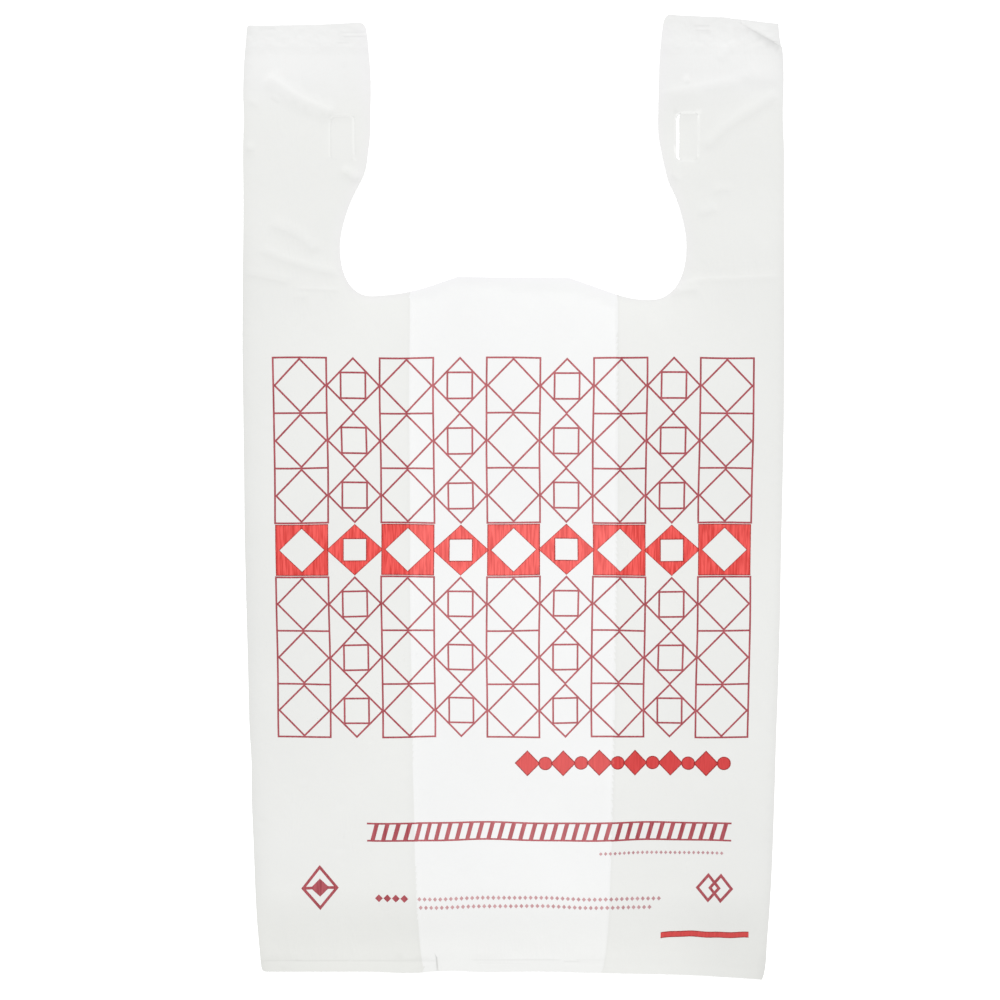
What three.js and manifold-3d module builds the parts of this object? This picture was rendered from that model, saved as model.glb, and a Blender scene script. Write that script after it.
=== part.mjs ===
import * as THREE from 'three';
import { mergeVertices } from 'three/addons/utils/BufferGeometryUtils.js';
import Module from 'manifold-3d';

const wasm = await Module();
wasm.setup();

// A carrier bag of thin white film with side gussets and two cut handles, lying flat on its back.
// Millimetres. X runs across the bag, Y from the bottom seal to the handles, Z up through the film.

// Blank: a flattened tube, sealed and cut across at both ends
const bagWidth = 294.2; // over the outer folds, halfway up
const bodyLength = 381.2; // bottom cut edge to the lowest point of the neck
const handleLength = 144.9; // lowest point of the neck to the handle tops
const gussetDepth = 90.5; // outer fold to inner fold
const edgeBow = 3.4; // loss of half width towards both ends
const endPinch = 3.0; // further loss of half width close to both ends
const pinchPower = 16; // how late that loss sets in

// Film: four layers at the sides and two in the middle
const film = 0.4; // stands for a film of 0.015
const layerGap = 1.5; // air between layers of the lying bag
const sealGap = 0.1; // what is left of it at a seal
const bendSegments = 3; // facets of a fold

// Seals across both ends
const sealInset = 4.2; // cut edge to seal
const sealWidth = 2.8;
const sealTaper = 11.8; // length over which the layers part beside a seal
const taperSteps = 2;
const middleSteps = 6; // steps of the cross-section between the tapers

// Ends cut a little out of square
const leftTopRise = 1.3; // left handle top, from its outer to its inner corner
const rightTopRise = 5.2; // right handle top, the same way
const bottomDip = 4.5; // right bottom corner, below the middle of the edge
const dipReach = 70; // height over which the dip fades out

// Neck cut out between the handles
const handleWidth = 69.5; // outer fold to the straight inner edge
const handleFlare = 2.2; // further loss of handle width up to its top
const straightStart = 88.2; // lowest point of the neck to the straight edge
const bulgeDepth = 16.6; // how far the round neck reaches into the handle root
const bulgeRise = 27.7; // lowest point of the neck to its widest
const lobeInset = 17.9; // widest point to the lowest point, across
const lipRise = 10.7; // lowest point of the neck to the middle lip
const lipHalf = 30; // half width of the straight lip
const neckSteps = 6; // facets of each curve of the neck
// How far each curve of the neck holds its first and last direction, as parts of its own size
const lipHold = { across: 0.27, down: 0.37, level: 0.33 };
const lobeHold = { across: 0.56, up: 0.37 };
const bulgeHold = { first: 0.34, last: 0.36 };

// Tabs cut by a U-shaped slit and hinged at their lower end
const tabClearance = 8; // straight inner edge to the near side of the slit
const tabWidth = 12.6;
const tabHeight = 23;
const tabRise = 73.4; // lowest point of the neck to the foot of the slit
const slitWidth = 0.5;
const openSlitWidth = 1.6; // where the right tab has shifted
const tabCorner = 3;

// Rounded corners
const innerCorner = 3.5; // handle tops, beside the neck
const outerCorner = 1.2; // left handle top
const blankCorner = 2.4; // left bottom corner

// Right handle, outer corner: the two front layers end on a diagonal fold
const cornerFoldAcross = 26.5; // along the top edge, from the outer fold
const cornerFoldDown = 12; // down the outer fold

// Print, flat on the front
const ink = 0.2;
const inkGap = 0.3; // between two printed fields
const stroke = 1.0; // width of an outline

// Rows of blocks and lozenges, the middle row solid
const rowCount = 7;
const rowColumns = 9;
const rowPitch = 30.2;
const rowsMargin = 16.9; // outer fold to the rows
const solidFrame = 2.3; // narrowest part of a solid block
const solidFace = 8.4; // solid part of a lozenge, beside its hole

// Border of beads and lozenges
const borderHeight = 14.9;
const borderWidth = 119.6;
const borderUnits = 12;
const borderMargin = 24.8; // outer fold to its right end
const beadRadius = 3.9;
const borderLap = 1; // how far a lozenge runs into its beads

// Band of slanted bars between two rails
const bandHeight = 11;
const bandLeftMargin = 65.6;
const bandRightMargin = 25.3;
const bandPitch = 5.9;
const bandBar = 2.4;
const bandSlant = 2.6;
const railWidth = 1;

// Fine lines
const fineHeight = 1.5;
const fineWidth = 72.8;
const fineMargin = 27.9; // outer fold to its right end
const leadHeight = 4.7;
const leadWidth = 23.5;
const leadMargin = 66.9; // outer fold to its left end
const leadGap = 1.7; // lead to the lines beside it
const lineHeight = 1.9;
const lineSpacing = 5.0;
const lineShortfall = 4.4; // how much sooner the lower line ends

// Emblems
const emblemHeight = 26.3;
const emblemWidth = 21;
const emblemStroke = 1.6;
const leftEmblemMargin = 28.2; // outer fold to its outer side
const rightEmblemMargin = 23.6;
const emblemClearance = 18.5; // lines to the right emblem

// Register bar
const barHeight = 3.6;
const barWidth = 49.5;
const barMargin = 14.3; // outer fold to its right end
const barRise = 19.7; // bottom cut edge to the bar

// Air between the printed fields, from the neck down, shared out in these parts
const spaceParts = { rows: 32.8, border: 7.5, band: 26.6, fine: 6.3, emblems: 6.8, bar: 12.9 };

const filmMaterial = new THREE.MeshStandardMaterial({ color: 0xf3f4f2, roughness: 0.42, metalness: 0 });
const solidInk = new THREE.MeshStandardMaterial({ color: 0xdc4446, roughness: 0.5, metalness: 0 });
const lineInk = new THREE.MeshStandardMaterial({ color: 0xb63b45, roughness: 0.5, metalness: 0 });
const paleInk = new THREE.MeshStandardMaterial({ color: 0xcf8f93, roughness: 0.5, metalness: 0 });

const bagLength = bodyLength + handleLength;
const outerFold = bagWidth / 2;
const frontFace = 4 * film + 3 * layerGap;
const sealHeight = 4 * film + 3 * sealGap;
const flatStart = sealInset + sealWidth + sealTaper;
const cutMargin = 12; // how far a cutting shape runs past the film
const panelStops = [-0.75, -0.35, 0, 0.35, 0.75]; // points across a panel, as parts of its half
const flatTolerance = 1e-4; // triangles this close to one plane are joined

// A closed body through rings of points, one ring for each step along Y
function loft(rings) {
  const count = rings[0].length;
  const positions = rings.flat(2);
  const triangles = [];
  for (let j = 0; j + 1 < rings.length; j += 1) {
    for (let i = 0; i < count; i += 1) {
      const a = j * count + i;
      const b = j * count + ((i + 1) % count);
      triangles.push(a, a + count, b + count, a, b + count, b);
    }
  }
  capRing(rings[0]).forEach(([a, b, c]) => triangles.push(a, b, c));
  const last = (rings.length - 1) * count;
  capRing(rings.at(-1)).forEach(([a, b, c]) => triangles.push(last + c, last + b, last + a));
  return solidOf(new Float32Array(positions), new Uint32Array(triangles));
}

function capRing(ring) {
  return THREE.ShapeUtils.triangulateShape(ring.map(([x, , z]) => new THREE.Vector2(x, z)), []);
}

function solidOf(vertProperties, triVerts) {
  return new wasm.Manifold(new wasm.Mesh({ numProp: 3, vertProperties, triVerts }));
}

// A closed body from a flat outline, standing between two heights
function prism(shape, low, high) {
  const geometry = new THREE.ExtrudeGeometry(shape, {
    depth: high - low,
    bevelEnabled: false,
    curveSegments: 6,
  });
  geometry.translate(0, 0, low);
  geometry.deleteAttribute('normal');
  geometry.deleteAttribute('uv');
  const merged = mergeVertices(geometry, 1e-4);
  return solidOf(merged.attributes.position.array, new Uint32Array(merged.index.array));
}

function polygon(points) {
  return new THREE.Shape(points.map(([x, y]) => new THREE.Vector2(x, y)));
}

// Half the width of the blank at a height up the bag
function halfWidth(y) {
  const u = Math.abs(y - bagLength / 2) / (bagLength / 2);
  return outerFold - edgeBow * u ** 2 - endPinch * u ** pinchPower;
}

// Air between the layers, which closes towards both seals
function gapAt(y) {
  const fromEnd = Math.min(y, bagLength - y) - sealInset - sealWidth;
  return THREE.MathUtils.lerp(sealGap, layerGap, THREE.MathUtils.smoothstep(fromEnd, 0, sealTaper));
}

// Ends that are cut out of square carry the film beside them along
function place(x, y, z) {
  const up = Math.max(0, (y - bodyLength) / handleLength) ** 2;
  const across = Math.min(handleWidth, Math.max(0, outerFold - Math.abs(x))) / handleWidth;
  const rise = (x < 0 ? leftTopRise : rightTopRise) * across * up;
  const down = Math.max(0, 1 - Math.max(0, y) / dipReach) ** 2;
  const dip = bottomDip * (Math.max(0, x) / outerFold) ** 2 * down;
  return [x, y + rise - dip, z];
}

// The middle of the film in one cross-section, as points with the film's outward direction
function sectionPath(y) {
  const pitch = film + gapAt(y);
  const level = (k) => film / 2 + k * pitch;
  const reach = pitch / 2 + film / 2;
  const outer = halfWidth(y) - reach;
  const inner = halfWidth(y) - gussetDepth + reach;
  const path = [];
  const bend = (x, lower, from, to, side) => {
    for (let i = 0; i <= bendSegments; i += 1) {
      const angle = THREE.MathUtils.degToRad(THREE.MathUtils.lerp(from, to, i / bendSegments));
      const across = Math.cos(angle);
      const up = Math.sin(angle);
      const z = (level(lower) + level(lower + 1)) / 2 + up * (pitch / 2);
      path.push([x + across * (pitch / 2), z, across * side, up * side]);
    }
  };
  const panel = (z, up, direction) => {
    panelStops.forEach((stop) => path.push([stop * direction * outer, z, 0, up]));
  };
  const gusset = (x, k, up) => path.push([x, level(k), 0, up]);
  const middle = (outer + inner) / 2;
  bend(outer, 0, -90, 90, 1);
  gusset(middle, 1, 1);
  bend(inner, 1, 270, 90, -1);
  gusset(middle, 2, -1);
  bend(outer, 2, -90, 90, 1);
  panel(level(3), 1, -1);
  bend(-outer, 2, 90, 270, 1);
  gusset(-middle, 2, -1);
  bend(-inner, 1, 90, -90, -1);
  gusset(-middle, 1, 1);
  bend(-outer, 0, 90, 270, 1);
  panel(level(0), -1, 1);
  return path;
}

// One side of the film, as a ring of points
function filmRing(y, offset, alongShift) {
  return sectionPath(y).map(([x, z, across, up]) => {
    const [px, py, pz] = place(x + across * offset, y, z + up * offset);
    return [px, py + alongShift, pz];
  });
}

// Heights up the bag at which the section is drawn
function sectionHeights() {
  const taper = [];
  for (let i = 0; i <= taperSteps; i += 1) {
    taper.push(sealInset + sealWidth + (sealTaper * i) / taperSteps);
  }
  const lower = [0, sealInset, ...taper];
  const upper = lower.map((y) => bagLength - y).reverse();
  const between = [];
  for (let i = 1; i < middleSteps; i += 1) {
    between.push(THREE.MathUtils.lerp(flatStart, bagLength - flatStart, i / middleSteps));
  }
  return [...lower, ...between, ...upper];
}

function filmTube() {
  const heights = sectionHeights();
  const outside = loft(heights.map((y) => filmRing(y, film / 2, 0)));
  const lastIndex = heights.length - 1;
  const endShift = (i) => (i === 0 ? -cutMargin : i === lastIndex ? cutMargin : 0);
  const inside = loft(heights.map((y, i) => filmRing(y, -film / 2, endShift(i))));
  return outside.subtract(inside);
}

// A welded bar through all four layers
function seal(from) {
  const ring = (y) => {
    const half = halfWidth(y) - film;
    const stops = [-1, ...panelStops, 1];
    const lower = stops.map((stop) => place(stop * half, y, film / 2));
    const upper = stops.map((stop) => place(stop * half, y, sealHeight - film / 2)).reverse();
    return [...lower, ...upper];
  };
  return loft([ring(from), ring(from + sealWidth)]);
}

// The neck's edge on the right: half the middle lip, a round lobe at the handle root, the handle
function neckEdge() {
  const edge = outerFold - handleWidth;
  const widest = edge + bulgeDepth;
  const lobe = widest - lobeInset;
  const lip = bodyLength + lipRise;
  const low = bodyLength;
  const wide = low + bulgeRise;
  const straight = low + straightStart;
  const dive = lobe - lipHalf;
  const climb = straight - wide;
  const points = [[lipHalf, lip]];
  const curve = (...corners) => {
    const line = new THREE.CubicBezierCurve(...corners.map(([x, y]) => new THREE.Vector2(x, y)));
    points.push(...line.getPoints(neckSteps).slice(1).map(({ x, y }) => [x, y]));
  };
  curve(
    [lipHalf, lip], [lipHalf + dive * lipHold.across, lip - lipRise * lipHold.down],
    [lobe - dive * lipHold.level, low], [lobe, low],
  );
  curve(
    [lobe, low], [lobe + lobeInset * lobeHold.across, low],
    [widest, low + bulgeRise * lobeHold.up], [widest, wide],
  );
  curve(
    [widest, wide], [widest, wide + climb * bulgeHold.first],
    [edge, straight - climb * bulgeHold.last], [edge, straight],
  );
  points.push([edge + handleFlare, bagLength + cutMargin]);
  return points;
}

function neckCutter() {
  const right = neckEdge();
  const left = right.map(([x, y]) => [-x, y]).reverse();
  return prism(polygon([...right, ...left]), -cutMargin, frontFace + cutMargin);
}

// A U-shaped slit, open at the bottom, with its own width on the inner side
function tabSlit(side, innerSlit) {
  const near = outerFold - handleWidth + tabClearance;
  const far = near + tabWidth;
  const x0 = side < 0 ? -far : near;
  const x1 = side < 0 ? -near : far;
  const left = side < 0 ? slitWidth : innerSlit;
  const right = side < 0 ? innerSlit : slitWidth;
  const low = bodyLength + tabRise;
  const top = low + tabHeight;
  const shape = new THREE.Shape();
  shape.moveTo(x0, low);
  shape.lineTo(x0, top - tabCorner);
  shape.quadraticCurveTo(x0, top, x0 + tabCorner, top);
  shape.lineTo(x1 - tabCorner, top);
  shape.quadraticCurveTo(x1, top, x1, top - tabCorner);
  shape.lineTo(x1, low);
  shape.lineTo(x1 - right, low);
  shape.lineTo(x1 - right, top - tabCorner);
  shape.quadraticCurveTo(x1 - right, top - slitWidth, x1 - tabCorner, top - slitWidth);
  shape.lineTo(x0 + tabCorner, top - slitWidth);
  shape.quadraticCurveTo(x0 + left, top - slitWidth, x0 + left, top - tabCorner);
  shape.lineTo(x0 + left, low);
  return prism(shape, -cutMargin, frontFace + cutMargin);
}

// What a rounded corner takes away; the corner points to (dx, dy)
function cornerCutter(x, y, dx, dy, radius) {
  const shape = new THREE.Shape();
  shape.moveTo(x - dx * radius, y + dy * cutMargin);
  shape.lineTo(x - dx * radius, y);
  shape.quadraticCurveTo(x, y, x, y - dy * radius);
  shape.lineTo(x + dx * cutMargin, y - dy * radius);
  shape.lineTo(x + dx * cutMargin, y + dy * cutMargin);
  return prism(shape, -cutMargin, frontFace + cutMargin);
}

// The folded corner: everything above the second layer, beyond the diagonal
function foldedCornerCutter() {
  const [topX, topY] = place(halfWidth(bagLength) - cornerFoldAcross, bagLength, 0);
  const lowX = halfWidth(bagLength - cornerFoldDown);
  const lowY = bagLength - cornerFoldDown;
  const slope = (topX - lowX) / (topY - lowY);
  const ring = (y) => {
    const x = lowX + slope * (y - lowY);
    const parting = 2 * film + 1.5 * gapAt(Math.min(y, bagLength));
    const far = outerFold + cutMargin;
    const high = frontFace + cutMargin;
    return [[x, y, parting], [far, y, parting], [far, y, high], [x, y, high]];
  };
  const first = lowY + cutMargin / 2 / slope; // where the diagonal is well clear of the outer fold
  const last = bagLength + cutMargin;
  const seam = bagLength - sealInset - sealWidth;
  return loft([first, lowY, (lowY + seam) / 2, seam, last].map(ring));
}

function bagFilm() {
  const topSeal = bagLength - sealInset - sealWidth;
  const body = filmTube().add(seal(sealInset)).add(seal(topSeal));
  const [leftX, leftY] = place(-halfWidth(bagLength), bagLength, 0);
  const topEdge = outerFold - handleWidth + handleFlare;
  const innerLeft = place(-topEdge, bagLength, 0);
  const innerRight = place(topEdge, bagLength, 0);
  return body
    .subtract(neckCutter())
    .subtract(tabSlit(-1, slitWidth))
    .subtract(tabSlit(1, openSlitWidth))
    .subtract(cornerCutter(leftX, leftY, -1, 1, outerCorner))
    .subtract(cornerCutter(innerLeft[0], innerLeft[1], 1, 1, innerCorner))
    .subtract(cornerCutter(innerRight[0], innerRight[1], -1, 1, innerCorner))
    .subtract(cornerCutter(-halfWidth(0), 0, -1, -1, blankCorner))
    .subtract(foldedCornerCutter());
}

// Print: outlines and fields

function inked(shape) {
  return prism(shape, frontFace, frontFace + ink);
}

function box(x, y, halfX, halfY) {
  return polygon([
    [x - halfX, y - halfY], [x + halfX, y - halfY],
    [x + halfX, y + halfY], [x - halfX, y + halfY],
  ]);
}

function lozenge(x, y, halfX, halfY) {
  return polygon([[x - halfX, y], [x, y - halfY], [x + halfX, y], [x, y + halfY]]);
}

function pierced(shape, hole) {
  shape.holes.push(hole);
  return shape;
}

// Outlines, with their line inside the named size
function boxLine(x, y, halfX, halfY, line) {
  return pierced(box(x, y, halfX, halfY), box(x, y, halfX - line, halfY - line));
}

function lozengeLine(x, y, halfX, halfY, line) {
  const scale = 1 - (line * Math.hypot(halfX, halfY)) / (halfX * halfY);
  return pierced(lozenge(x, y, halfX, halfY), lozenge(x, y, halfX * scale, halfY * scale));
}

function bead(x, y, radius) {
  const corners = 12;
  const points = [];
  for (let i = 0; i < corners; i += 1) {
    const angle = (i / corners) * 2 * Math.PI;
    points.push([x + radius * Math.cos(angle), y + radius * Math.sin(angle)]);
  }
  return polygon(points);
}

const isBlock = (column) => column % 2 === 0;
const rowsHalf = outerFold - rowsMargin;
const columnHalf = rowsHalf / rowColumns;
const columnMiddle = (column) => -rowsHalf + columnHalf * (2 * column + 1);

// Outlined rows between two heights: blocks that hold a lozenge, and lozenges that hold a block
function outlinedRows(top, count) {
  const parts = [];
  for (let row = 0; row < count; row += 1) {
    const y = top - rowPitch * (row + 0.5);
    for (let column = 0; column < rowColumns; column += 1) {
      const x = columnMiddle(column);
      const halfY = rowPitch / 2;
      const wideX = columnHalf + stroke / 2;
      const wideY = halfY + stroke / 2;
      if (isBlock(column)) {
        parts.push(inked(boxLine(x, y, wideX, wideY, stroke)));
        parts.push(inked(lozengeLine(x, y, columnHalf, halfY, stroke)));
      } else {
        parts.push(inked(lozengeLine(x, y, wideX, wideY, stroke)));
        parts.push(inked(boxLine(x, y, columnHalf / 2, halfY / 2, stroke)));
      }
    }
  }
  return wasm.Manifold.union(parts);
}

// The solid row, just clear of the outlines above and below it
function solidRow(top) {
  const y = top - rowPitch / 2;
  const halfY = rowPitch / 2 - stroke / 2 - inkGap;
  const parts = [];
  for (let column = 0; column < rowColumns; column += 1) {
    const x = columnMiddle(column);
    if (isBlock(column)) {
      const hole = lozenge(x, y, columnHalf - solidFrame, halfY - solidFrame);
      parts.push(inked(pierced(box(x, y, columnHalf, halfY), hole)));
    } else {
      const hole = box(x, y, columnHalf - solidFace, halfY - solidFace);
      parts.push(inked(pierced(lozenge(x, y, columnHalf + stroke, halfY), hole)));
    }
  }
  return wasm.Manifold.union(parts);
}

// Lozenges strung between round beads
function beadBorder(right, y) {
  const unit = borderWidth / borderUnits;
  const parts = [];
  for (let i = 0; i < borderUnits; i += 1) {
    const x = right - unit * (i + 0.5);
    const wide = unit - beadRadius + borderLap;
    parts.push(inked(i % 2 === 0 ? bead(x, y, beadRadius) : lozenge(x, y, wide, borderHeight / 2)));
  }
  return wasm.Manifold.union(parts);
}

// Slanted bars between two rails
function barBand(left, right, y) {
  const halfY = bandHeight / 2;
  const middle = (left + right) / 2;
  const half = (right - left) / 2;
  const parts = [
    inked(box(middle, y + halfY - railWidth / 2, half, railWidth / 2)),
    inked(box(middle, y - halfY + railWidth / 2, half, railWidth / 2)),
  ];
  const count = Math.floor((right - left - bandBar - bandSlant) / bandPitch) + 1;
  const first = middle - (bandPitch * (count - 1)) / 2;
  for (let i = 0; i < count; i += 1) {
    const low = first + bandPitch * i - bandSlant / 2;
    const high = low + bandSlant;
    const inset = halfY - railWidth / 2;
    parts.push(inked(polygon([
      [low - bandBar / 2, y - inset], [low + bandBar / 2, y - inset],
      [high + bandBar / 2, y + inset], [high - bandBar / 2, y + inset],
    ])));
  }
  return wasm.Manifold.union(parts);
}

function strip(left, right, y, height) {
  return inked(box((left + right) / 2, y, (right - left) / 2, height / 2));
}

// A block that holds a lozenge, with a small lozenge between two arms inside
function leftEmblem(x, y) {
  const halfX = emblemWidth / 2;
  const halfY = emblemHeight / 2;
  const heart = halfX / 2;
  return wasm.Manifold.union([
    inked(lozengeLine(x, y, halfX, halfY, emblemStroke)),
    inked(lozenge(x, y, heart, heart)),
    inked(box(x, y, halfX - emblemStroke, emblemStroke / 2)),
  ]);
}

// Two lozenges side by side that cross in the middle
function rightEmblem(x, y) {
  const quarter = emblemWidth / 4;
  const halfX = emblemWidth / 2 - quarter + quarter / 3;
  const shift = emblemWidth / 2 - halfX;
  return wasm.Manifold.union([
    inked(lozengeLine(x - shift, y, halfX, emblemHeight / 3, emblemStroke)),
    inked(lozengeLine(x + shift, y, halfX, emblemHeight / 3, emblemStroke)),
  ]);
}

// Print places, shared out between the neck and the bottom seal
const rowsHeight = rowCount * rowPitch;
const printed = rowsHeight + borderHeight + bandHeight + fineHeight + emblemHeight + barHeight;
const nominalSpace = Object.values(spaceParts).reduce((sum, part) => sum + part, 0);
const ease = (bodyLength - barRise - printed) / nominalSpace;

const rowsTop = bodyLength - spaceParts.rows * ease;
const borderTop = rowsTop - rowsHeight - spaceParts.border * ease;
const bandTop = borderTop - borderHeight - spaceParts.band * ease;
const fineTop = bandTop - bandHeight - spaceParts.fine * ease;
const emblemTop = fineTop - fineHeight - spaceParts.emblems * ease;
const emblemMiddle = emblemTop - emblemHeight / 2;
const lineMiddle = emblemTop - emblemHeight + leadHeight / 2 + lineSpacing;

const solidIndex = (rowCount - 1) / 2;
const lowerRows = rowCount - solidIndex - 1;
const solidTop = rowsTop - solidIndex * rowPitch;
const leadLeft = -outerFold + leadMargin;
const lineLeft = leadLeft + leadWidth + leadGap;
const lineRight = outerFold - rightEmblemMargin - emblemWidth - emblemClearance;
const fineRight = outerFold - fineMargin;
const barRight = outerFold - barMargin;
const bandLeft = -outerFold + bandLeftMargin;
const bandRight = outerFold - bandRightMargin;
const leftEmblemX = -outerFold + leftEmblemMargin + emblemWidth / 2;
const rightEmblemX = outerFold - rightEmblemMargin - emblemWidth / 2;

const bag = new THREE.Group();
const border = beadBorder(outerFold - borderMargin, borderTop - borderHeight / 2);
const fineLine = strip(fineRight - fineWidth, fineRight, fineTop - fineHeight / 2, fineHeight);
const lowerLineRight = lineRight - lineShortfall;
const upperLine = strip(lineLeft, lineRight, lineMiddle, lineHeight);
const lowerLine = strip(lineLeft, lowerLineRight, lineMiddle - lineSpacing, lineHeight);
const registerBar = strip(barRight - barWidth, barRight, barRise + barHeight / 2, barHeight);

function addMesh(name, solid, material) {
  const mesh = solid.asOriginal().simplify(flatTolerance).getMesh();
  const geometry = new THREE.BufferGeometry();
  geometry.setAttribute('position', new THREE.BufferAttribute(new Float32Array(mesh.vertProperties), 3));
  geometry.setIndex(new THREE.BufferAttribute(new Uint32Array(mesh.triVerts), 1));
  geometry.computeVertexNormals();
  const item = new THREE.Mesh(geometry, material);
  item.name = name;
  bag.add(item);
}

addMesh('bag_film', bagFilm(), filmMaterial);
addMesh('print_rows_upper', outlinedRows(rowsTop, solidIndex), lineInk);
addMesh('print_row_solid', solidRow(solidTop), solidInk);
addMesh('print_rows_lower', outlinedRows(solidTop - rowPitch, lowerRows), lineInk);
addMesh('print_bead_border', border, solidInk);
addMesh('print_bar_band', barBand(bandLeft, bandRight, bandTop - bandHeight / 2), lineInk);
addMesh('print_fine_line', fineLine, paleInk);
addMesh('print_short_line', strip(leadLeft, leadLeft + leadWidth, lineMiddle, leadHeight), lineInk);
addMesh('print_long_line_upper', upperLine, paleInk);
addMesh('print_long_line_lower', lowerLine, paleInk);
addMesh('print_emblem_left', leftEmblem(leftEmblemX, emblemMiddle), lineInk);
addMesh('print_emblem_right', rightEmblem(rightEmblemX, emblemMiddle), lineInk);
addMesh('print_register_bar', registerBar, solidInk);

// The bag's frame has its origin under the middle of its box
const extent = new THREE.Box3().setFromObject(bag);
const centre = extent.getCenter(new THREE.Vector3());
bag.position.set(-centre.x, -centre.y, -extent.min.z);

export default bag;
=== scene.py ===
import math

import bpy
import numpy as np
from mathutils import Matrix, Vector
from mathutils.geometry import delaunay_2d_cdt
from mathutils.kdtree import KDTree


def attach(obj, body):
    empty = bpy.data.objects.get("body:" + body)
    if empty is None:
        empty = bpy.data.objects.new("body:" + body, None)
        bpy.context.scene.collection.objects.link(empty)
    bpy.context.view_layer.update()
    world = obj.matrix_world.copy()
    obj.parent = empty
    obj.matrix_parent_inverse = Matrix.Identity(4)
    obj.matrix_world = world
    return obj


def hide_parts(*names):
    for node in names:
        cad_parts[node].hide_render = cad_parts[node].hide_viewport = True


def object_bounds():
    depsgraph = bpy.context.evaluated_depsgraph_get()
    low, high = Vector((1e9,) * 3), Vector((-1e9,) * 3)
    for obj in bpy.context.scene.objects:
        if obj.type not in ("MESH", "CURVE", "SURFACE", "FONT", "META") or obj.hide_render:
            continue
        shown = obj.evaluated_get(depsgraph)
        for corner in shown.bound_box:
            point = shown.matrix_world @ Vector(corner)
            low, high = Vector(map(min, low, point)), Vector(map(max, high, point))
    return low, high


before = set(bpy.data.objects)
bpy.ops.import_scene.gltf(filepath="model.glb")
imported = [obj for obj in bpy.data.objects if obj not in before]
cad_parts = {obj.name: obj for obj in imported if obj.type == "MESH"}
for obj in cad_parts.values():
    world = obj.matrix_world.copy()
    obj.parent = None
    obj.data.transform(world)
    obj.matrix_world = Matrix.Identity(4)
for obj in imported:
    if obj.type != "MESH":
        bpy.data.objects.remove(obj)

# A thin white carrier bag that lies flat on its back, with geometric red print.
# Lengths are in millimetres until a mesh is made. X runs across the bag, Y up from the middle of
# its bottom cut edge, Z up from the surface it lies on. Meshes are made in the frame, in metres.

cad_box = [list(corner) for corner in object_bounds()]
MM = 0.001

# Blank
BAG_WIDTH = 294.2
BODY_LENGTH = 381.2
HANDLE_LENGTH = 144.9
GUSSET_DEPTH = 90.5
EDGE_BOW = 3.4
END_PINCH = 3.0
PINCH_POWER = 16
BAG_LENGTH = BODY_LENGTH + HANDLE_LENGTH
OUTER_FOLD = BAG_WIDTH / 2

# Ends and seals
LEFT_TOP_RISE = 1.3
RIGHT_TOP_RISE = 5.2
BOTTOM_DIP = 4.5
SEAL_INSET = 4.2
SEAL_WIDTH = 2.8
EDGE_WAVE = 0.12  # unevenness of the cut ends

# Neck
HANDLE_WIDTH = 69.5
HANDLE_FLARE = 2.2
STRAIGHT_START = 88.2
BULGE_DEPTH = 16.6
BULGE_RISE = 27.7
LOBE_INSET = 17.9
LIP_RISE = 10.7
LIP_HALF = 30.0

# Tabs in the handles: the left one is -1, the right one 1
SIDES = ((-1, "left"), (1, "right"))
TAB_CLEARANCE = 8.0
TAB_WIDTH = 12.6
TAB_HEIGHT = 23.0
TAB_RISE = 73.4
TAB_CORNER = 3.0
TAB_SWEEP = 8.0  # how far the bend at a tab's upper left reaches down
TAB_NUDGE = {-1: (0.0, 0.0), 1: (0.7, 1.8)}  # left side and top, off the drawn place
TAB_LIFT = {-1: -0.06, 1: -0.1}
# Painted shade inside each tab's top and painted light along its cut edges
TAB_SHADE = {-1: 0.05, 1: 0.045}
TAB_LIGHT = {-1: 0.06, 1: 0.18}
SLIT_WIDTHS = {-1: (0.03, 0.03, 0.03), 1: (1.5, 0.03, 0.03)}  # left, top, right
SLIT_FOOT = 0.02
BESIDE_SLIT = (87, 470, 10, 16)  # where the film lies flat beside the open slit: centre and reach

# Rounded and folded corners
INNER_CORNER = 3.5
OUTER_CORNER = 1.2
BLANK_CORNER = 2.4
CORNER_FOLD_ACROSS = 26.5
CORNER_FOLD_DOWN = 12.0

# Film as it lies
FILM = 0.07
TIGHT = 0.12  # between two layers that touch
LEAST = 0.3  # from the back layer to the front one, at the least
SIDE_LIFT = 2.5  # air under the front at the sides
HANDLE_LIFT = 0.9  # the same in the handles
ROLL = 7.0  # how far the outer folds round off
FOLD_SHOULDER = 1.3  # width of the step down from a gusset to the middle
LAYER_SHARE = (0.0, 0.34, 0.67, 1.0)  # of the stack's height: back, two gusset layers, front
INK_RISE = 0.012
INK_DEPTH = 0.02

# Mesh steps
FRONT_STEP = 3.6
BACK_STEP = 7.0
EDGE_STEP = 3.5
CORNER_STEP = 2.5
INK_STEP = 4.0
NECK_STEPS = 14
BEND_STEPS = 6
ROW_SHARE = 0.866  # of the step, from one row of staggered points to the next
JITTER = 0.12  # of the step
KEEP_OFF = 0.5  # of the step, from points on lines
SAME_POINT = 1e-6
LINE_REACH = 1e-4  # within which lines take in a point
LEAST_AREA = 1e-7
SHARP_ANGLE = math.radians(50.0)

# Camera and light
CAMERA_DISTANCE = 1.4
CAMERA_TILT = math.radians(9.8)
CAMERA_AIM = (-0.0073, 0.00731, 0.003)
LENS_RATIO = 2.5636
AMBIENT = 0.647
KEY_SIDE = (0.09, 0.96, 0.75)
KEY_STRENGTH = 2.07
KEY_ANGLE = math.radians(16.0)
FLOOR_HALF = 4.0
FLOOR_GLOW = 0.5
# The doubled colour is darker: painted shade of the light that passes the gussets' extra layers
FILM_COLOURS = ((0.893, 0.898, 0.896), (0.832, 0.837, 0.819))  # single and doubled

rng = np.random.default_rng(11)


def smooth(t):
    t = np.clip(t, 0.0, 1.0)
    return t * t * (3.0 - 2.0 * t)


def ease(value, start, end):
    """0 at start and 1 at end, softly; start may be the greater one."""
    return smooth((value - start) / (end - start))


def fade(distance, reach):
    return np.exp(-distance / reach)


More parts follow.
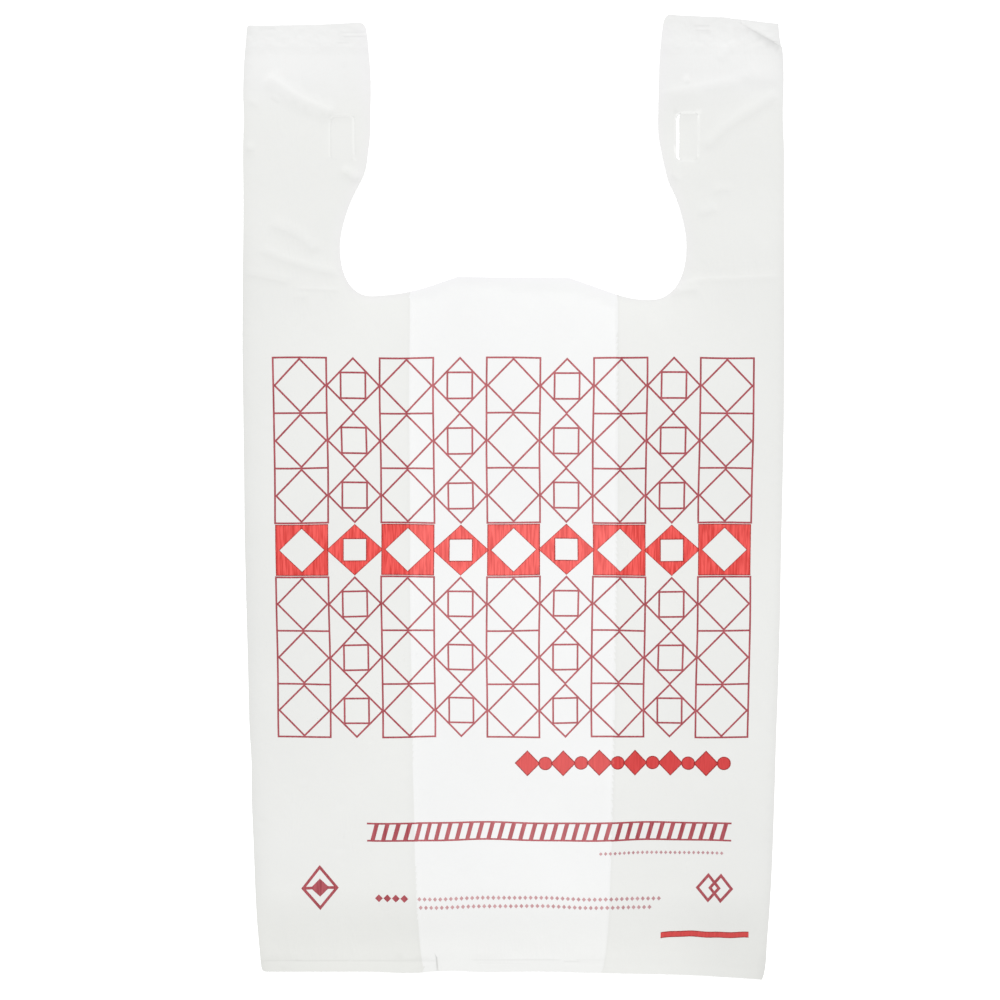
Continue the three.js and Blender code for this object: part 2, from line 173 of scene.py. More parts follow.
def bell(t):
    return np.exp(-(t ** 2))


def hump(x, y, cx, cy, wide, tall):
    return np.exp(-(((x - cx) / wide) ** 2) - ((y - cy) / tall) ** 2)


def half_width(y):
    u = np.abs(y - BAG_LENGTH / 2) / (BAG_LENGTH / 2)
    return OUTER_FOLD - EDGE_BOW * u**2 - END_PINCH * u**PINCH_POWER


def from_fold(x, y):
    return np.maximum(half_width(y) - np.abs(x), 0.0)


def inner_fold(y):
    return half_width(y) - GUSSET_DEPTH


def bottom_edge(x):
    return -BOTTOM_DIP * (np.maximum(x, 0.0) / OUTER_FOLD) ** 2


def top_edge(x):
    across = np.clip((OUTER_FOLD - np.abs(x)) / HANDLE_WIDTH, 0.0, 1.0)
    return BAG_LENGTH + np.where(x < 0, LEFT_TOP_RISE, RIGHT_TOP_RISE) * across


INNER_EDGE = OUTER_FOLD - HANDLE_WIDTH
TOP_INNER = INNER_EDGE + HANDLE_FLARE
TOP_OUTER = float(half_width(BAG_LENGTH))
FOLD_FOOT_Y = BAG_LENGTH - CORNER_FOLD_DOWN
FOLD_HEAD_X = TOP_OUTER - CORNER_FOLD_ACROSS
BOTTOM_OUTER = float(half_width(0.0))
BOTTOM_LOW = float(bottom_edge(BOTTOM_OUTER))
ORIGIN_Y = cad_box[0][1] / MM - BOTTOM_LOW
EMBOSS_START = BAG_LENGTH - 16.0 + ORIGIN_Y
EMBOSS_REACH = 4.0


# Lines on the blank

def spaced(start, end, step=EDGE_STEP):
    count = max(1, math.ceil(abs(end - start) / step))
    return np.linspace(start, end, count + 1)


def straight(start, end, step=EDGE_STEP):
    start, end = np.array(start, float), np.array(end, float)
    count = max(1, math.ceil(np.linalg.norm(end - start) / step))
    return start + (end - start) * np.linspace(0, 1, count + 1)[:, None]


def dense(points, step=EDGE_STEP, closed=False):
    points = [np.array(p, float) for p in points]
    if closed:
        points.append(points[0])
    runs = [straight(a, b, step)[:-1] for a, b in zip(points, points[1:])]
    tail = [] if closed else [points[-1][None, :]]
    return np.concatenate(runs + tail)


def bezier(corners, steps):
    p0, p1, p2, p3 = (np.array(c, float) for c in corners)
    t = np.linspace(0, 1, steps + 1)[:, None]
    return p0 * (1 - t) ** 3 + 3 * p1 * t * (1 - t) ** 2 + 3 * p2 * t**2 * (1 - t) + p3 * t**3


def quadratic(start, corner, end, steps=5):
    start, corner, end = (np.array(c, float) for c in (start, corner, end))
    t = np.linspace(0, 1, steps + 1)[:, None]
    return start * (1 - t) ** 2 + 2 * corner * t * (1 - t) + end * t**2


def rounded(*bends):
    """A line round bends, each given by its start, its corner and its end."""
    parts = []
    for bend, following in zip(bends, bends[1:]):
        parts += [quadratic(*bend)[:-1], straight(bend[2], following[0])[:-1]]
    return np.concatenate([*parts, quadratic(*bends[-1])])


def mirrored(line):
    return line * np.array([-1.0, 1.0])


def cut_edge(xs, ys, wave):
    """A cut edge, a little uneven but for its ends."""
    return np.stack([xs, ys + EDGE_WAVE * wave * np.sin(np.pi * np.linspace(0, 1, len(xs)))], 1)


def neck_half():
    """From the middle of the lip to the top of the right handle's inner edge."""
    widest = INNER_EDGE + BULGE_DEPTH
    lobe = widest - LOBE_INSET
    low, lip = BODY_LENGTH, BODY_LENGTH + LIP_RISE
    wide, high = low + BULGE_RISE, low + STRAIGHT_START
    dive, climb = lobe - LIP_HALF, high - wide
    lip_end, widest_point, handle_foot = (LIP_HALF, lip), (widest, wide), (INNER_EDGE, high)
    to_lobe = [lip_end, (LIP_HALF + dive * 0.27, lip - LIP_RISE * 0.37), (lobe - dive * 0.33, low), (lobe, low)]
    to_bulge = [(lobe, low), (lobe + LOBE_INSET * 0.56, low), (widest, low + BULGE_RISE * 0.37), widest_point]
    to_handle = [widest_point, (widest, wide + climb * 0.34), (INNER_EDGE, high - climb * 0.36), handle_foot]
    return np.concatenate([
        straight((0, lip), lip_end)[:-1],
        bezier(to_lobe, NECK_STEPS)[:-1],
        bezier(to_bulge, NECK_STEPS)[:-1],
        bezier(to_handle, NECK_STEPS * 2)[:-1],
        straight(handle_foot, (TOP_INNER, BAG_LENGTH - INNER_CORNER)),
    ])


def neck_from_fold():
    """The neck's right edge from the inner fold outwards and up."""
    for i, (a, b) in enumerate(zip(NECK, NECK[1:])):
        gap_a, gap_b = (p[0] - inner_fold(p[1]) for p in (a, b))
        if gap_a < 0 <= gap_b:
            meet = a + (b - a) * (gap_a / (gap_a - gap_b))
            return np.concatenate([meet[None, :], NECK[i + 1:]])
    raise ValueError("the neck doesn't reach the inner folds")


def outer_fold_line(side):
    """Up one outer fold; the right one has a point where the corner fold meets it."""
    if side < 0:
        ys = spaced(BLANK_CORNER, BAG_LENGTH - OUTER_CORNER)
    else:
        ys = np.concatenate([spaced(BOTTOM_LOW, FOLD_FOOT_Y)[:-1], spaced(FOLD_FOOT_Y, BAG_LENGTH)])
    return np.stack([side * half_width(ys), ys], 1)


def inner_fold_line(side):
    low_x = side * float(inner_fold(0.0))
    ys = spaced(float(bottom_edge(low_x)), NECK_OUTER[0][1])
    return np.stack([side * inner_fold(ys), ys], 1)


def handle_top_line(side, start):
    """Along a handle's top edge from its outer to its inner corner, corners included."""
    xs = side * spaced(start, TOP_INNER + INNER_CORNER)
    edge = cut_edge(xs, top_edge(xs), np.sin(xs / 7.0 + side))
    x, y = side * TOP_INNER, float(top_edge(side * TOP_INNER))
    inner = quadratic((side * (TOP_INNER + INNER_CORNER), y), (x, y), (x, BAG_LENGTH - INNER_CORNER))
    if side > 0:
        return np.concatenate([edge[:-1], inner])
    low = BAG_LENGTH - OUTER_CORNER
    outer = quadratic((-float(half_width(low)), low), (-TOP_OUTER, BAG_LENGTH), edge[0])
    return np.concatenate([outer[:-1], edge[:-1], inner])


def bottom_line(start, end):
    xs = spaced(start, end)
    return cut_edge(xs, bottom_edge(xs), np.sin(xs / 11.0))


NECK = neck_half()
NECK_OUTER = neck_from_fold()
RIGHT_FOLD = outer_fold_line(1)

# The diagonal fold of the right handle's front layers, from the outer fold to the top edge
CORNER_FOOT = np.array([float(half_width(FOLD_FOOT_Y)), FOLD_FOOT_Y])
CORNER_LINE = straight(CORNER_FOOT, (FOLD_HEAD_X, float(top_edge(FOLD_HEAD_X))), CORNER_STEP)
CORNER_LENGTH = np.linalg.norm(CORNER_LINE[-1] - CORNER_FOOT)
CORNER_RUN = (CORNER_LINE[-1] - CORNER_FOOT) / CORNER_LENGTH
CORNER_OUT = np.array([CORNER_RUN[1], -CORNER_RUN[0]])


class Outline:
    """A closed loop made of named runs of points, so that folds can be found again."""

    def __init__(self):
        self.points = []
        self.runs = {}

    def add(self, line, name=None):
        indices = []
        for p in line:
            ends = (len(self.points) - 1, 0) if self.points else ()
            near = [i for i in ends if np.linalg.norm(self.points[i] - p) < SAME_POINT]
            if not near:
                self.points.append(np.array(p, float))
            indices.append(near[0] if near else len(self.points) - 1)
        if name:
            self.runs[name] = indices

    def add_bottom(self, end):
        """The bottom left corner and the bottom edge from there."""
        start = BLANK_CORNER - BOTTOM_OUTER
        self.add(quadratic((-float(half_width(BLANK_CORNER)), BLANK_CORNER), (-BOTTOM_OUTER, 0), (start, 0)))
        self.add(bottom_line(start, end))

    def add_right_handle(self, front):
        """Up the right outer fold and over the handle's top, with the front's folded corner."""
        if front:
            foot = int(np.argmin(np.abs(RIGHT_FOLD[:, 1] - FOLD_FOOT_Y)))
            self.add(RIGHT_FOLD[: foot + 1], "outer_right")
            self.add(CORNER_LINE, "corner")
        else:
            self.add(RIGHT_FOLD, "outer_right")
        self.add(handle_top_line(1, FOLD_HEAD_X if front else TOP_OUTER))

    def add_left_handle(self):
        self.add(handle_top_line(-1, TOP_OUTER - OUTER_CORNER)[::-1])
        self.add(outer_fold_line(-1)[::-1], "outer_left")


def panel_outline(front):
    """The front or back panel, anticlockwise from the bottom left."""
    o = Outline()
    o.add_bottom(RIGHT_FOLD[0][0])
    o.add_right_handle(front)
    o.add(NECK[::-1])
    o.add(mirrored(NECK)[1:])
    o.add_left_handle()
    return o


def gusset_outline(side, front):
    """One gusset layer on one side, anticlockwise."""
    o = Outline()
    if side > 0:
        o.add(bottom_line(float(inner_fold(0.0)), RIGHT_FOLD[0][0]))
        o.add_right_handle(front)
        o.add(NECK_OUTER[::-1])
        o.add(inner_fold_line(1)[::-1], "inner_right")
    else:
        o.add(inner_fold_line(-1), "inner_left")
        o.add(mirrored(NECK_OUTER))
        o.add_left_handle()
        o.add_bottom(-float(inner_fold(0.0)))
    return o


# Tabs: a slit on three sides, hinged at the foot

def tab_box(side):
    near = INNER_EDGE + TAB_CLEARANCE
    xs = sorted((side * near, side * (near + TAB_WIDTH)))
    low = BODY_LENGTH + TAB_RISE
    dx, dy = TAB_NUDGE[side]
    return xs[0] + dx, xs[1], low, low + TAB_HEIGHT + dy


def tab_slit(side):
    """The slit as a closed band with its own widths."""
    x0, x1, low, high = tab_box(side)
    left, top, right = SLIT_WIDTHS[side]
    r = TAB_CORNER
    a, b, roof, foot = x0 + left, x1 - right, high - top, low + SLIT_FOOT
    outer = rounded(
        ((x0 + r, low), (x0, low), (x0, low + r)),
        ((x0, high - TAB_SWEEP), (x0, high), (x0 + r, high)),
        ((x1 - r, high), (x1, high), (x1, high - r)),
        ((x1, low + r), (x1, low), (x1 - r, low)),
    )
    inner = rounded(
        ((x1 - r, foot), (x1 - right / 4, low + right / 4), (b, low + r)),
        ((b, high - r), (b, roof), (x1 - r, roof)),
        ((x0 + r, roof), (a, roof), (a, high - TAB_SWEEP)),
        ((a, low + r), (a, low + left), (x0 + r, foot)),
    )
    return np.concatenate([outer, inner])


# Creases as seen: height, width above and below the crest, share of the length in which it
# fades out at each end, and points from left to right
CREASES = [
    (0.5, 4.6, 9, 0.1, [(-133, 499.5), (-126, 494.5), (-118, 489), (-110, 484.5), (-103, 481.5),
                        (-95.5, 477.9)]),
    (0.12, 3, 1.3, 0.25, [(-130, 488.5), (-124, 485)]),
    (0.34, 4, 3, 0.25, [(-94, 450.5), (-89, 446.8), (-84, 443)]),
    (0.3, 7, 4, 0.14, [(-133, 421.3), (-126, 419.3), (-119, 416.3), (-113, 412.7), (-108.5, 408.5),
                       (-106, 404.5)]),
    (0.24, 4, 3.4, 0.12, [(-138.5, 408.5), (-131, 404.5), (-124, 401.5), (-117, 399.5), (-108, 397), (-99, 395),
                          (-93.5, 394)]),
    (0.2, 6, 2.4, 0.14, [(-145.5, 394.2), (-139, 393.2), (-132, 391.6), (-125, 390), (-120, 388.3)]),
    (0.09, 1.6, 1.3, 0.25, [(-119, 385.6), (-92, 385.2)]),
    (0.08, 3.5, 1.4, 0.25, [(-120, 381), (-110, 381.2)]),
    (0.22, 4, 2, 0.25, [(-144.5, 460.8), (-138, 459.8)]),
    (0.14, 3, 2.5, 0.25, [(-143, 486.5), (-136, 483.5)]),
    (0.33, 4, 14, 0.2, [(78, 489), (88, 490.7), (96, 492.1), (104, 493.7), (112, 495.1), (124, 495.8)]),
    (0.26, 9, 5.4, 0.3, [(117, 499), (126, 498.4), (136, 498.1), (145, 497.6)]),
    (0.34, 5, 4, 0.12, [(101, 459), (107, 466.2), (112, 470.7), (118, 474.7), (124, 478.4), (131, 482.8),
                        (138, 487.4), (143, 490.4)]),
    (0.13, 3.4, 2, 0.25, [(106, 437), (112, 439.4), (118, 438.6)]),
    (0.2, 5, 2.8, 0.25, [(98.5, 426), (104, 427.3), (110.5, 429.5)]),
    (0.15, 3, 1.6, 0.25, [(85, 447.8), (89.5, 443.2)]),
    (0.12, 1.5, 3.6, 0.1, [(91.5, 389.3), (99, 390.7), (108, 391.5), (116, 391.7), (128, 392.1),
                           (145.5, 392.6)]),
    (0.26, 5, 3, 0.25, [(84, 383), (92, 385.4), (102, 386.2)]),
    (0.24, 3.5, 3.5, 0.25, [(107.5, 506.5), (118.5, 516.3)]),
]
SOFT_FLANK = 5.5  # a flank wider than this eases out
CREASE_STEP = 2.2

# Small dents and bumps: place, radius, height
SPOTS = [
    (92.8, 497.3, 1.3, 0.24), (-90, 504.5, 1.3, 0.18), (-115.5, 112, 1.5, -0.1), (-96.5, 98, 1.6, -0.1),
    (-97, 73, 1.5, -0.12), (-141, 87, 2.2, -0.12), (-130, 4, 2.2, 0.12), (136, 413, 1.6, -0.1),
]

# Thin lines of painted shade along lines and a crease pressed into the ends: start, end, depth of the shade
PRESSED = [
    ((-91, 521.6), (-80, 521.6), 0.05), ((-91, 519.6), (-80, 519.6), 0.07), ((-93, 516.3), (-88, 516.2), 0.05),
    ((-133, 523.6), (-127.5, 523.6), 0.06), ((96, 525.2), (103, 525.2), 0.06), ((96, 522.8), (104, 522.8), 0.06),
    ((-141, 6.2), (-121, 6.4), 0.06), ((-121, 6.1), (-93, 6.2), 0.06), ((-90, 6), (-62, 6.1), 0.05),
    ((-59, 6.2), (-44, 6), 0.05), ((-42.7, 1.2), (-43.2, 8.6), 0.32), ((-22, 6.6), (26, 6.7), 0.06),
    ((29, 5.6), (36, 5.6), 0.06), ((36, 6.7), (52, 6.5), 0.05), ((-19, 4.6), (8, 4.5), 0.04),
]
PRESS_WIDTH = 0.4

# Long soft waves and short ripples: wavelength, direction in degrees, height, phase
WAVES = [
    (150, 8, 0.10, 0.4), (104, -24, 0.055, 2.1), (83, 52, 0.03, 4.0),
    (66, 4, 0.028, 1.2), (47, -38, 0.014, 5.1), (36, 17, 0.01, 3.3),
]
RIPPLES = [(23, -12, 0.008, 0.9), (17, 31, 0.006, 2.7), (13, 6, 0.005, 4.4)]

# Where the film lies off its drawn place: centre, reach across and up, shift across and up
SHIFTS = [
    (-146, 435, 34, 58, 0.75, 0), (-146, 476, 14, 9, 0.6, 0), (-146, 528, 20, 7, -0.9, 0),
    (-74, 503, 18, 24, 2.3, 0), (-76, 448, 12, 9, 1.7, 0), (-92, 424, 14, 24, 1.0, 0),
    (-92, 467, 13, 14, 0.8, 0.7), (-110, 530, 46, 12, 0, -1.1), (-72, 382, 14, 12, 0, 0.8),
    (-86, 446, 8, 11, 1.0, 0), (-78, 478, 7, 26, 0.85, 0), (-76, 521, 10, 9, 0.6, 0),
    (146, 430, 36, 52, -0.8, 0), (146, 478, 18, 14, -0.8, 0), (76, 510, 18, 22, -1.3, 0),
    (77, 461, 8, 7, 0.5, 0), (80, 443, 9, 6, -1.1, 0), (92, 468, 13, 14, 0.8, 0.8),
    (92, 412, 14, 24, -1.1, 0), (78, 478, 7, 26, -0.95, 0), (115, 530, 14, 12, 0, 0.8),
    (64, 383, 20, 11, 0, -2.2), (0, -2, 170, 14, 0, -0.5), (143, 0, 34, 12, 1.3, -0.8),
    (-62, 0, 14, 9, 0, -0.9), (-35, 0, 12, 9, 0, 0.7), (-144, 0, 9, 9, -0.8, 0),
    (-143, 122, 14, 14, 0.6, 0), (-56, 92, 9, 40, 1.0, 0), (57, 200, 9, 230, 0.6, 0),
]
DOG_EAR = (146, 520, 9, 7)  # the layers behind the folded corner: centre and reach
DOG_EAR_SHIFT = (-1.4, -0.98, -0.63, 0.0)  # across, for each layer
TUCK = 0.3  # how far the front covers the layers behind it at the neck and the handle tops


# Heights of the film

def segment(x, y, start, end):
    """Distance from a segment, on which side of it, and how far along it."""
    length = math.dist(start, end)
    ux, uy = (end[0] - start[0]) / length, (end[1] - start[1]) / length
    dx, dy = x - start[0], y - start[1]
    along = np.clip(dx * ux + dy * uy, 0.0, length)
    dx, dy = dx - along * ux, dy - along * uy
    return np.hypot(dx, dy), ux * dy - uy * dx, along


def crease_rise(crease, x, y):
    """A ridge along a line, with its own width on each side."""
    height, above, below, ends, points = crease
    best = np.full(x.shape, np.inf)
    side, along = np.zeros(x.shape), np.zeros(x.shape)
    run = 0.0
    for start, end in zip(points, points[1:]):
        distance, aside, passed = segment(x, y, start, end)
        nearer = distance < best
        best = np.where(nearer, distance, best)
        side = np.where(nearer, aside, side)
        along = np.where(nearer, run + passed, along)
        run += math.dist(start, end)
    along /= run
    width = np.where(side > 0, above, below)
    rest = np.clip(1.0 - best / width, 0.0, 1.0) ** np.where(width > SOFT_FLANK, 2.0, 1.0)
    return height * smooth(along / ends) * smooth((1 - along) / ends) * rest


def wave_sum(x, y, waves):
    total = np.zeros_like(x)
    for length, degrees, height, phase in waves:
        turn = math.radians(degrees)
        travel = x * math.cos(turn) + y * math.sin(turn)
        total += height * np.sin(2 * math.pi * travel / length + phase)
    return total


def seal_distance(x, y):
    """Distance to the bottom seal and to the top one, from the film between them."""
    reach = SEAL_INSET + SEAL_WIDTH
    return y - bottom_edge(x) - reach, top_edge(x) - reach - y


def gathers(x, y):
    """Small ripples that run out of the seals, and a bunch of them left of the middle."""
    low, high = np.maximum(seal_distance(x, y), 0.0)
    turn = 2 * math.pi * x
    fine = np.sin(turn / 12.5 + 0.8 + y / 55) + 0.6 * np.sin(turn / 7.9 + 2.0)
    bunch = bell((x + 46) / 16) * fade(low, 50) * np.sin(turn / 11)
    return 0.024 * fade(low, 26) * fine + 0.014 * fade(high, 13) * fine + 0.10 * bunch


def seal_profile(x, y):
    """Two fine lines where each weld begins and ends, pressed between them."""
    total = np.zeros_like(x)
    for distance in seal_distance(x, y):
        across = distance + SEAL_WIDTH / 2
        for edge in (-SEAL_WIDTH / 2, SEAL_WIDTH / 2):
            total += 0.025 * bell((across - edge) / 0.55)
        total -= 0.02 * smooth(1.0 - np.abs(across) / (SEAL_WIDTH * 0.6))
    return total


def tree_of(points):
    tree = KDTree(len(points))
    for i, (x, y) in enumerate(points):
        tree.insert((x, y, 0.0), i)
    tree.balance()
    return tree


def distances(tree, points):
    return np.array([tree.find((x, y, 0.0))[2] for x, y in points])


NECK_TREE = tree_of(np.concatenate([NECK, mirrored(NECK)]))


def neck_distance(x, y):
    return distances(NECK_TREE, zip(x, y))


def corner_distance(x, y):
    """Distance from the corner fold (positive past it) and place along it from its foot."""
    dx, dy = x - CORNER_FOOT[0], y - CORNER_FOOT[1]
    return dx * CORNER_OUT[0] + dy * CORNER_OUT[1], (dx * CORNER_RUN[0] + dy * CORNER_RUN[1]) / CORNER_LENGTH


def corner_rise(x, y):
    """The front layers stand off the ones behind along the corner fold, most at its foot."""
    off, along = corner_distance(x, y)
    height = 0.72 - 0.3 * np.clip(along, 0.0, 1.0)
    return height * fade(np.abs(off), 9) * np.exp(-np.maximum(-along, 0.0) * 1.5)


def tab_rise(x, y):
    """The tabs bend a little out of the handles from their hinges up."""
    total = np.zeros_like(x)
    for side, _ in SIDES:
        x0, x1, low, high = tab_box(side)
        on_tab = (x > x0 + 0.1) & (x < x1 - 0.1) & (y > low) & (y < high - 0.1)
        total += np.where(on_tab, TAB_LIFT[side] * ease(y, low, high), 0.0)
    return total


def stack_height(x, y):
    """From the back layer to the front one: four layers at the sides, two in the middle."""
    low, high = seal_distance(x, y)
    swell = smooth(low / 42) * smooth(high / 24) * (1.0 - 0.85 * hump(x, y, *BESIDE_SLIT))
    lift = SIDE_LIFT + (HANDLE_LIFT - SIDE_LIFT) * smooth((y - BODY_LENGTH) / 60)
    cut = 1.0 - 0.9 * fade(neck_distance(x, y), 30)
    side = 3 * TIGHT + swell * lift * (1.0 - fade(from_fold(x, y), ROLL)) * cut
    step = (0.16 + 0.34 * ease(y, 240, 370)) * smooth(low / 20)
    middle = np.maximum(side - step - 0.25 * swell, TIGHT)
    beside = smooth((np.abs(x) - inner_fold(y) + FOLD_SHOULDER) / FOLD_SHOULDER)
    return middle + (side - middle) * beside


def relief(x, y):
    """What the front layer adds to the smooth stack: waves, creases and gathers."""
    low, high = seal_distance(x, y)
    calm = smooth(low / 16) * smooth(high / 12)
    edge = smooth(from_fold(x, y) / 10)
    total = wave_sum(x, y, WAVES) * calm * (0.35 + 0.65 * edge) + wave_sum(x, y, RIPPLES) * calm
    total += gathers(x, y) * (0.3 + 0.7 * edge)
    total += sum(crease_rise(crease, x, y) for crease in CREASES)
    return total + sum(height * hump(x, y, cx, cy, radius, radius) for cx, cy, radius, height in SPOTS)


def back_height(x, y):
    """The back layer: on the surface, a little off it towards the outer folds."""
    edge = from_fold(x, y)
    lift = 0.25 * fade(edge, 12) + 0.12 * (1 + np.sin(x / 31 + y / 47)) * smooth(edge / 20)
    return FILM + lift * (1.0 - hump(x, y, *BESIDE_SLIT))


def layer_height(k, x, y):
    """Layer 0 is the back, 1 and 2 the gusset, 3 the front."""
    front = np.maximum(stack_height(x, y) + relief(x, y), LEAST)
    height = back_height(x, y) + LAYER_SHARE[k] * (front + tab_rise(x, y))
    if k >= 2:
        height += corner_rise(x, y)
    if k == 3:
        height += seal_profile(x, y)
    return height


def layer_normals(k, x, y, reach=0.5):
    """Normals of a layer from the slopes of its height, on the side that looks out of the bag."""
    slope_x = (layer_height(k, x + reach, y) - layer_height(k, x - reach, y)) / (2 * reach)
    slope_y = (layer_height(k, x, y + reach) - layer_height(k, x, y - reach)) / (2 * reach)
    normals = np.stack([-slope_x, -slope_y, np.ones_like(x)], 1)
    normals /= np.linalg.norm(normals, axis=1)[:, None]
    return normals if k % 2 else -normals


def drift(x, y):
    """How far the limp film has moved within its own plane."""
    free = 0.45 + 0.55 * smooth(from_fold(x, y) / 30)
    turn = 2 * math.pi
    dx = 0.22 * np.sin(turn * (y / 118 + x / 310) + 1.0) + 0.05 * np.sin(turn * (y / 51 - x / 170))
    dy = 0.26 * np.sin(turn * (x / 97 + y / 260) + 0.5) + 0.08 * np.sin(turn * (x / 43 - y / 190))
    return dx * free, dy * free * (1.0 + 1.3 * ease(y, 120, 60)) * (0.25 + 0.75 * smooth(y / 14))


def shifts(k, x, y):
    """How far each point of a layer lies off its drawn place."""
    dx, dy = drift(x, y)
    for cx, cy, wide, tall, move_x, move_y in SHIFTS:
        weight = hump(x, y, cx, cy, wide, tall)
        dx += move_x * weight
        dy += move_y * weight
    dx += DOG_EAR_SHIFT[k] * hump(x, y, *DOG_EAR)
    if k < 3:
        cut = bell(neck_distance(x, y) / 6)
        dx += TUCK * cut * np.sign(x)
        dy -= TUCK * np.maximum(cut, smooth(1.0 - seal_distance(x, y)[1] / 4) * (np.abs(x) > TOP_INNER))
    return dx, dy


# Print, as flat shapes: each is a list of closed loops with a test of which points they cover,
# and the second loop of a shape cuts a hole in the first

def polygon(*corners):
    return [(corners, lambda points: inside(points, corners))]


def box(cx, cy, hx, hy):
    return polygon((cx - hx, cy - hy), (cx + hx, cy - hy), (cx + hx, cy + hy), (cx - hx, cy + hy))


def lozenge(cx, cy, hx, hy):
    return polygon((cx - hx, cy), (cx, cy - hy), (cx + hx, cy), (cx, cy + hy))


def bead(cx, cy, radius, corners=18):
    turn = np.linspace(0, 2 * math.pi, corners, endpoint=False)
    loop = list(zip(cx + radius * np.cos(turn), cy + radius * np.sin(turn)))
    return [(loop, lambda points: np.hypot(points[:, 0] - cx, points[:, 1] - cy) < radius * 0.995)]


def slanted(cx, cy, wide, half, slant):
    low, high, side = cx - slant / 2, cx + slant / 2, wide / 2
    return polygon((low - side, cy - half), (low + side, cy - half),
                   (high + side, cy + half), (high - side, cy + half))


def box_line(cx, cy, hx, hy, line):
    return box(cx, cy, hx, hy) + box(cx, cy, hx - line, hy - line)


def lozenge_line(cx, cy, hx, hy, line):
    scale = 1 - line * math.hypot(hx, hy) / (hx * hy)
    return lozenge(cx, cy, hx, hy) + lozenge(cx, cy, hx * scale, hy * scale)


# Seven rows, the middle one solid
ROW_COUNT = 7
ROW_COLUMNS = 9
ROW_PITCH = 30.2
ROWS_HALF = OUTER_FOLD - 16.9
COLUMN_HALF = ROWS_HALF / ROW_COLUMNS
STROKE = 1.0
INK_GAP = 0.3
SOLID_FRAME = 2.3
SOLID_FACE = 8.4
SOLID_EDGE = 0.55  # darker line round a solid field

# Heights of the fields and the spaces above them, from the body's top down
ROWS_TOP = BODY_LENGTH - 32.8
SOLID_TOP = ROWS_TOP - 3 * ROW_PITCH
BORDER_HEIGHT = 14.9
BORDER_TOP = ROWS_TOP - ROW_COUNT * ROW_PITCH - 7.5
BAND_HEIGHT = 11.0
BAND_TOP = BORDER_TOP - BORDER_HEIGHT - 26.6
FINE_HEIGHT = 1.5
FINE_TOP = BAND_TOP - BAND_HEIGHT - 6.3
EMBLEM_HEIGHT = 26.3
EMBLEM_TOP = FINE_TOP - FINE_HEIGHT - 6.8
EMBLEM_MIDDLE = EMBLEM_TOP - EMBLEM_HEIGHT / 2
LINE_PITCH = 5.0
LINE_HEIGHT = 4.7
LINE_MIDDLE = EMBLEM_TOP - EMBLEM_HEIGHT + LINE_HEIGHT / 2 + LINE_PITCH
BAR_HALF = 1.8
BAR_MIDDLE = 19.7 + BAR_HALF

# Ends of the fields, from the middle, and the sizes of what fills them
BORDER_RIGHT = OUTER_FOLD - 24.8
BORDER_COUNT = 12
BORDER_UNIT = 119.6 / BORDER_COUNT
BEAD_RADIUS = 3.9
DIAMOND_CUT = 2.9
BAND_ENDS = (-OUTER_FOLD + 65.6, OUTER_FOLD - 25.3)
BAND_PITCH = 5.9
BAND_BAR = 2.4
BAND_SLANT = 2.6
BAND_RAIL = 0.5
FINE_ENDS = (OUTER_FOLD - 27.9 - 72.8, OUTER_FOLD - 27.9)
EMBLEM_WIDTH = 21.0
EMBLEM_STROKE = 1.6
LEFT_EMBLEM = -OUTER_FOLD + 28.2 + EMBLEM_WIDTH / 2
RIGHT_EMBLEM = OUTER_FOLD - 23.6 - EMBLEM_WIDTH / 2
LEAD_ENDS = (-OUTER_FOLD + 66.9, -OUTER_FOLD + 66.9 + 23.5)
LINE_ENDS = (LEAD_ENDS[1] + 1.7, OUTER_FOLD - 23.6 - EMBLEM_WIDTH - 18.5)
LINE_SHORTFALL = 4.4  # of the lower line at its right end
FINE_DIAMOND = (2.6, 1.9, 2.2)  # pitch, width and height of the small diamonds
LEAD_DIAMOND = (4.7, 4.4, LINE_HEIGHT)
LINE_DIAMOND = (3.0, 2.3, 2.7)
BAR_ENDS = (OUTER_FOLD - 14.3 - 49.5, OUTER_FOLD - 14.3)
BORDER_EDGE = 0.5  # darker lines inside the border's shapes and the bar
BAR_EDGE = 0.45


def row_places(top):
    """Middle of each column of a row, and whether it is an even one."""
    for column in range(ROW_COLUMNS):
        yield -ROWS_HALF + COLUMN_HALF * (2 * column + 1), top - ROW_PITCH / 2, column % 2 == 0


def outlined_rows(top, count):
    half = ROW_PITCH / 2
    wide, tall = COLUMN_HALF + STROKE / 2, half + STROKE / 2
    shapes = []
    for row in range(count):
        for x, y, even in row_places(top - ROW_PITCH * row):
            outer, inner = (box_line, lozenge_line) if even else (lozenge_line, box_line)
            share = 1 if even else 2
            shapes += [outer(x, y, wide, tall, STROKE), inner(x, y, COLUMN_HALF / share, half / share, STROKE)]
    return shapes


def solid_row(top):
    """The solid fields, and the darker lines round them and their holes."""
    half = ROW_PITCH / 2 - STROKE / 2 - INK_GAP
    fields, edges = [], []
    for x, y, even in row_places(top):
        outer, hole = (box, lozenge) if even else (lozenge, box)
        wide = COLUMN_HALF if even else COLUMN_HALF + STROKE
        frame_width = SOLID_FRAME if even else SOLID_FACE
        across, up = COLUMN_HALF - frame_width, half - frame_width
        face, opening = outer(x, y, wide, half), hole(x, y, across, up)
        fields.append(face + opening)
        edges.append(face + outer(x, y, wide - SOLID_EDGE, half - SOLID_EDGE))
        edges.append(hole(x, y, across + SOLID_EDGE, up + SOLID_EDGE) + opening)
    return fields, edges


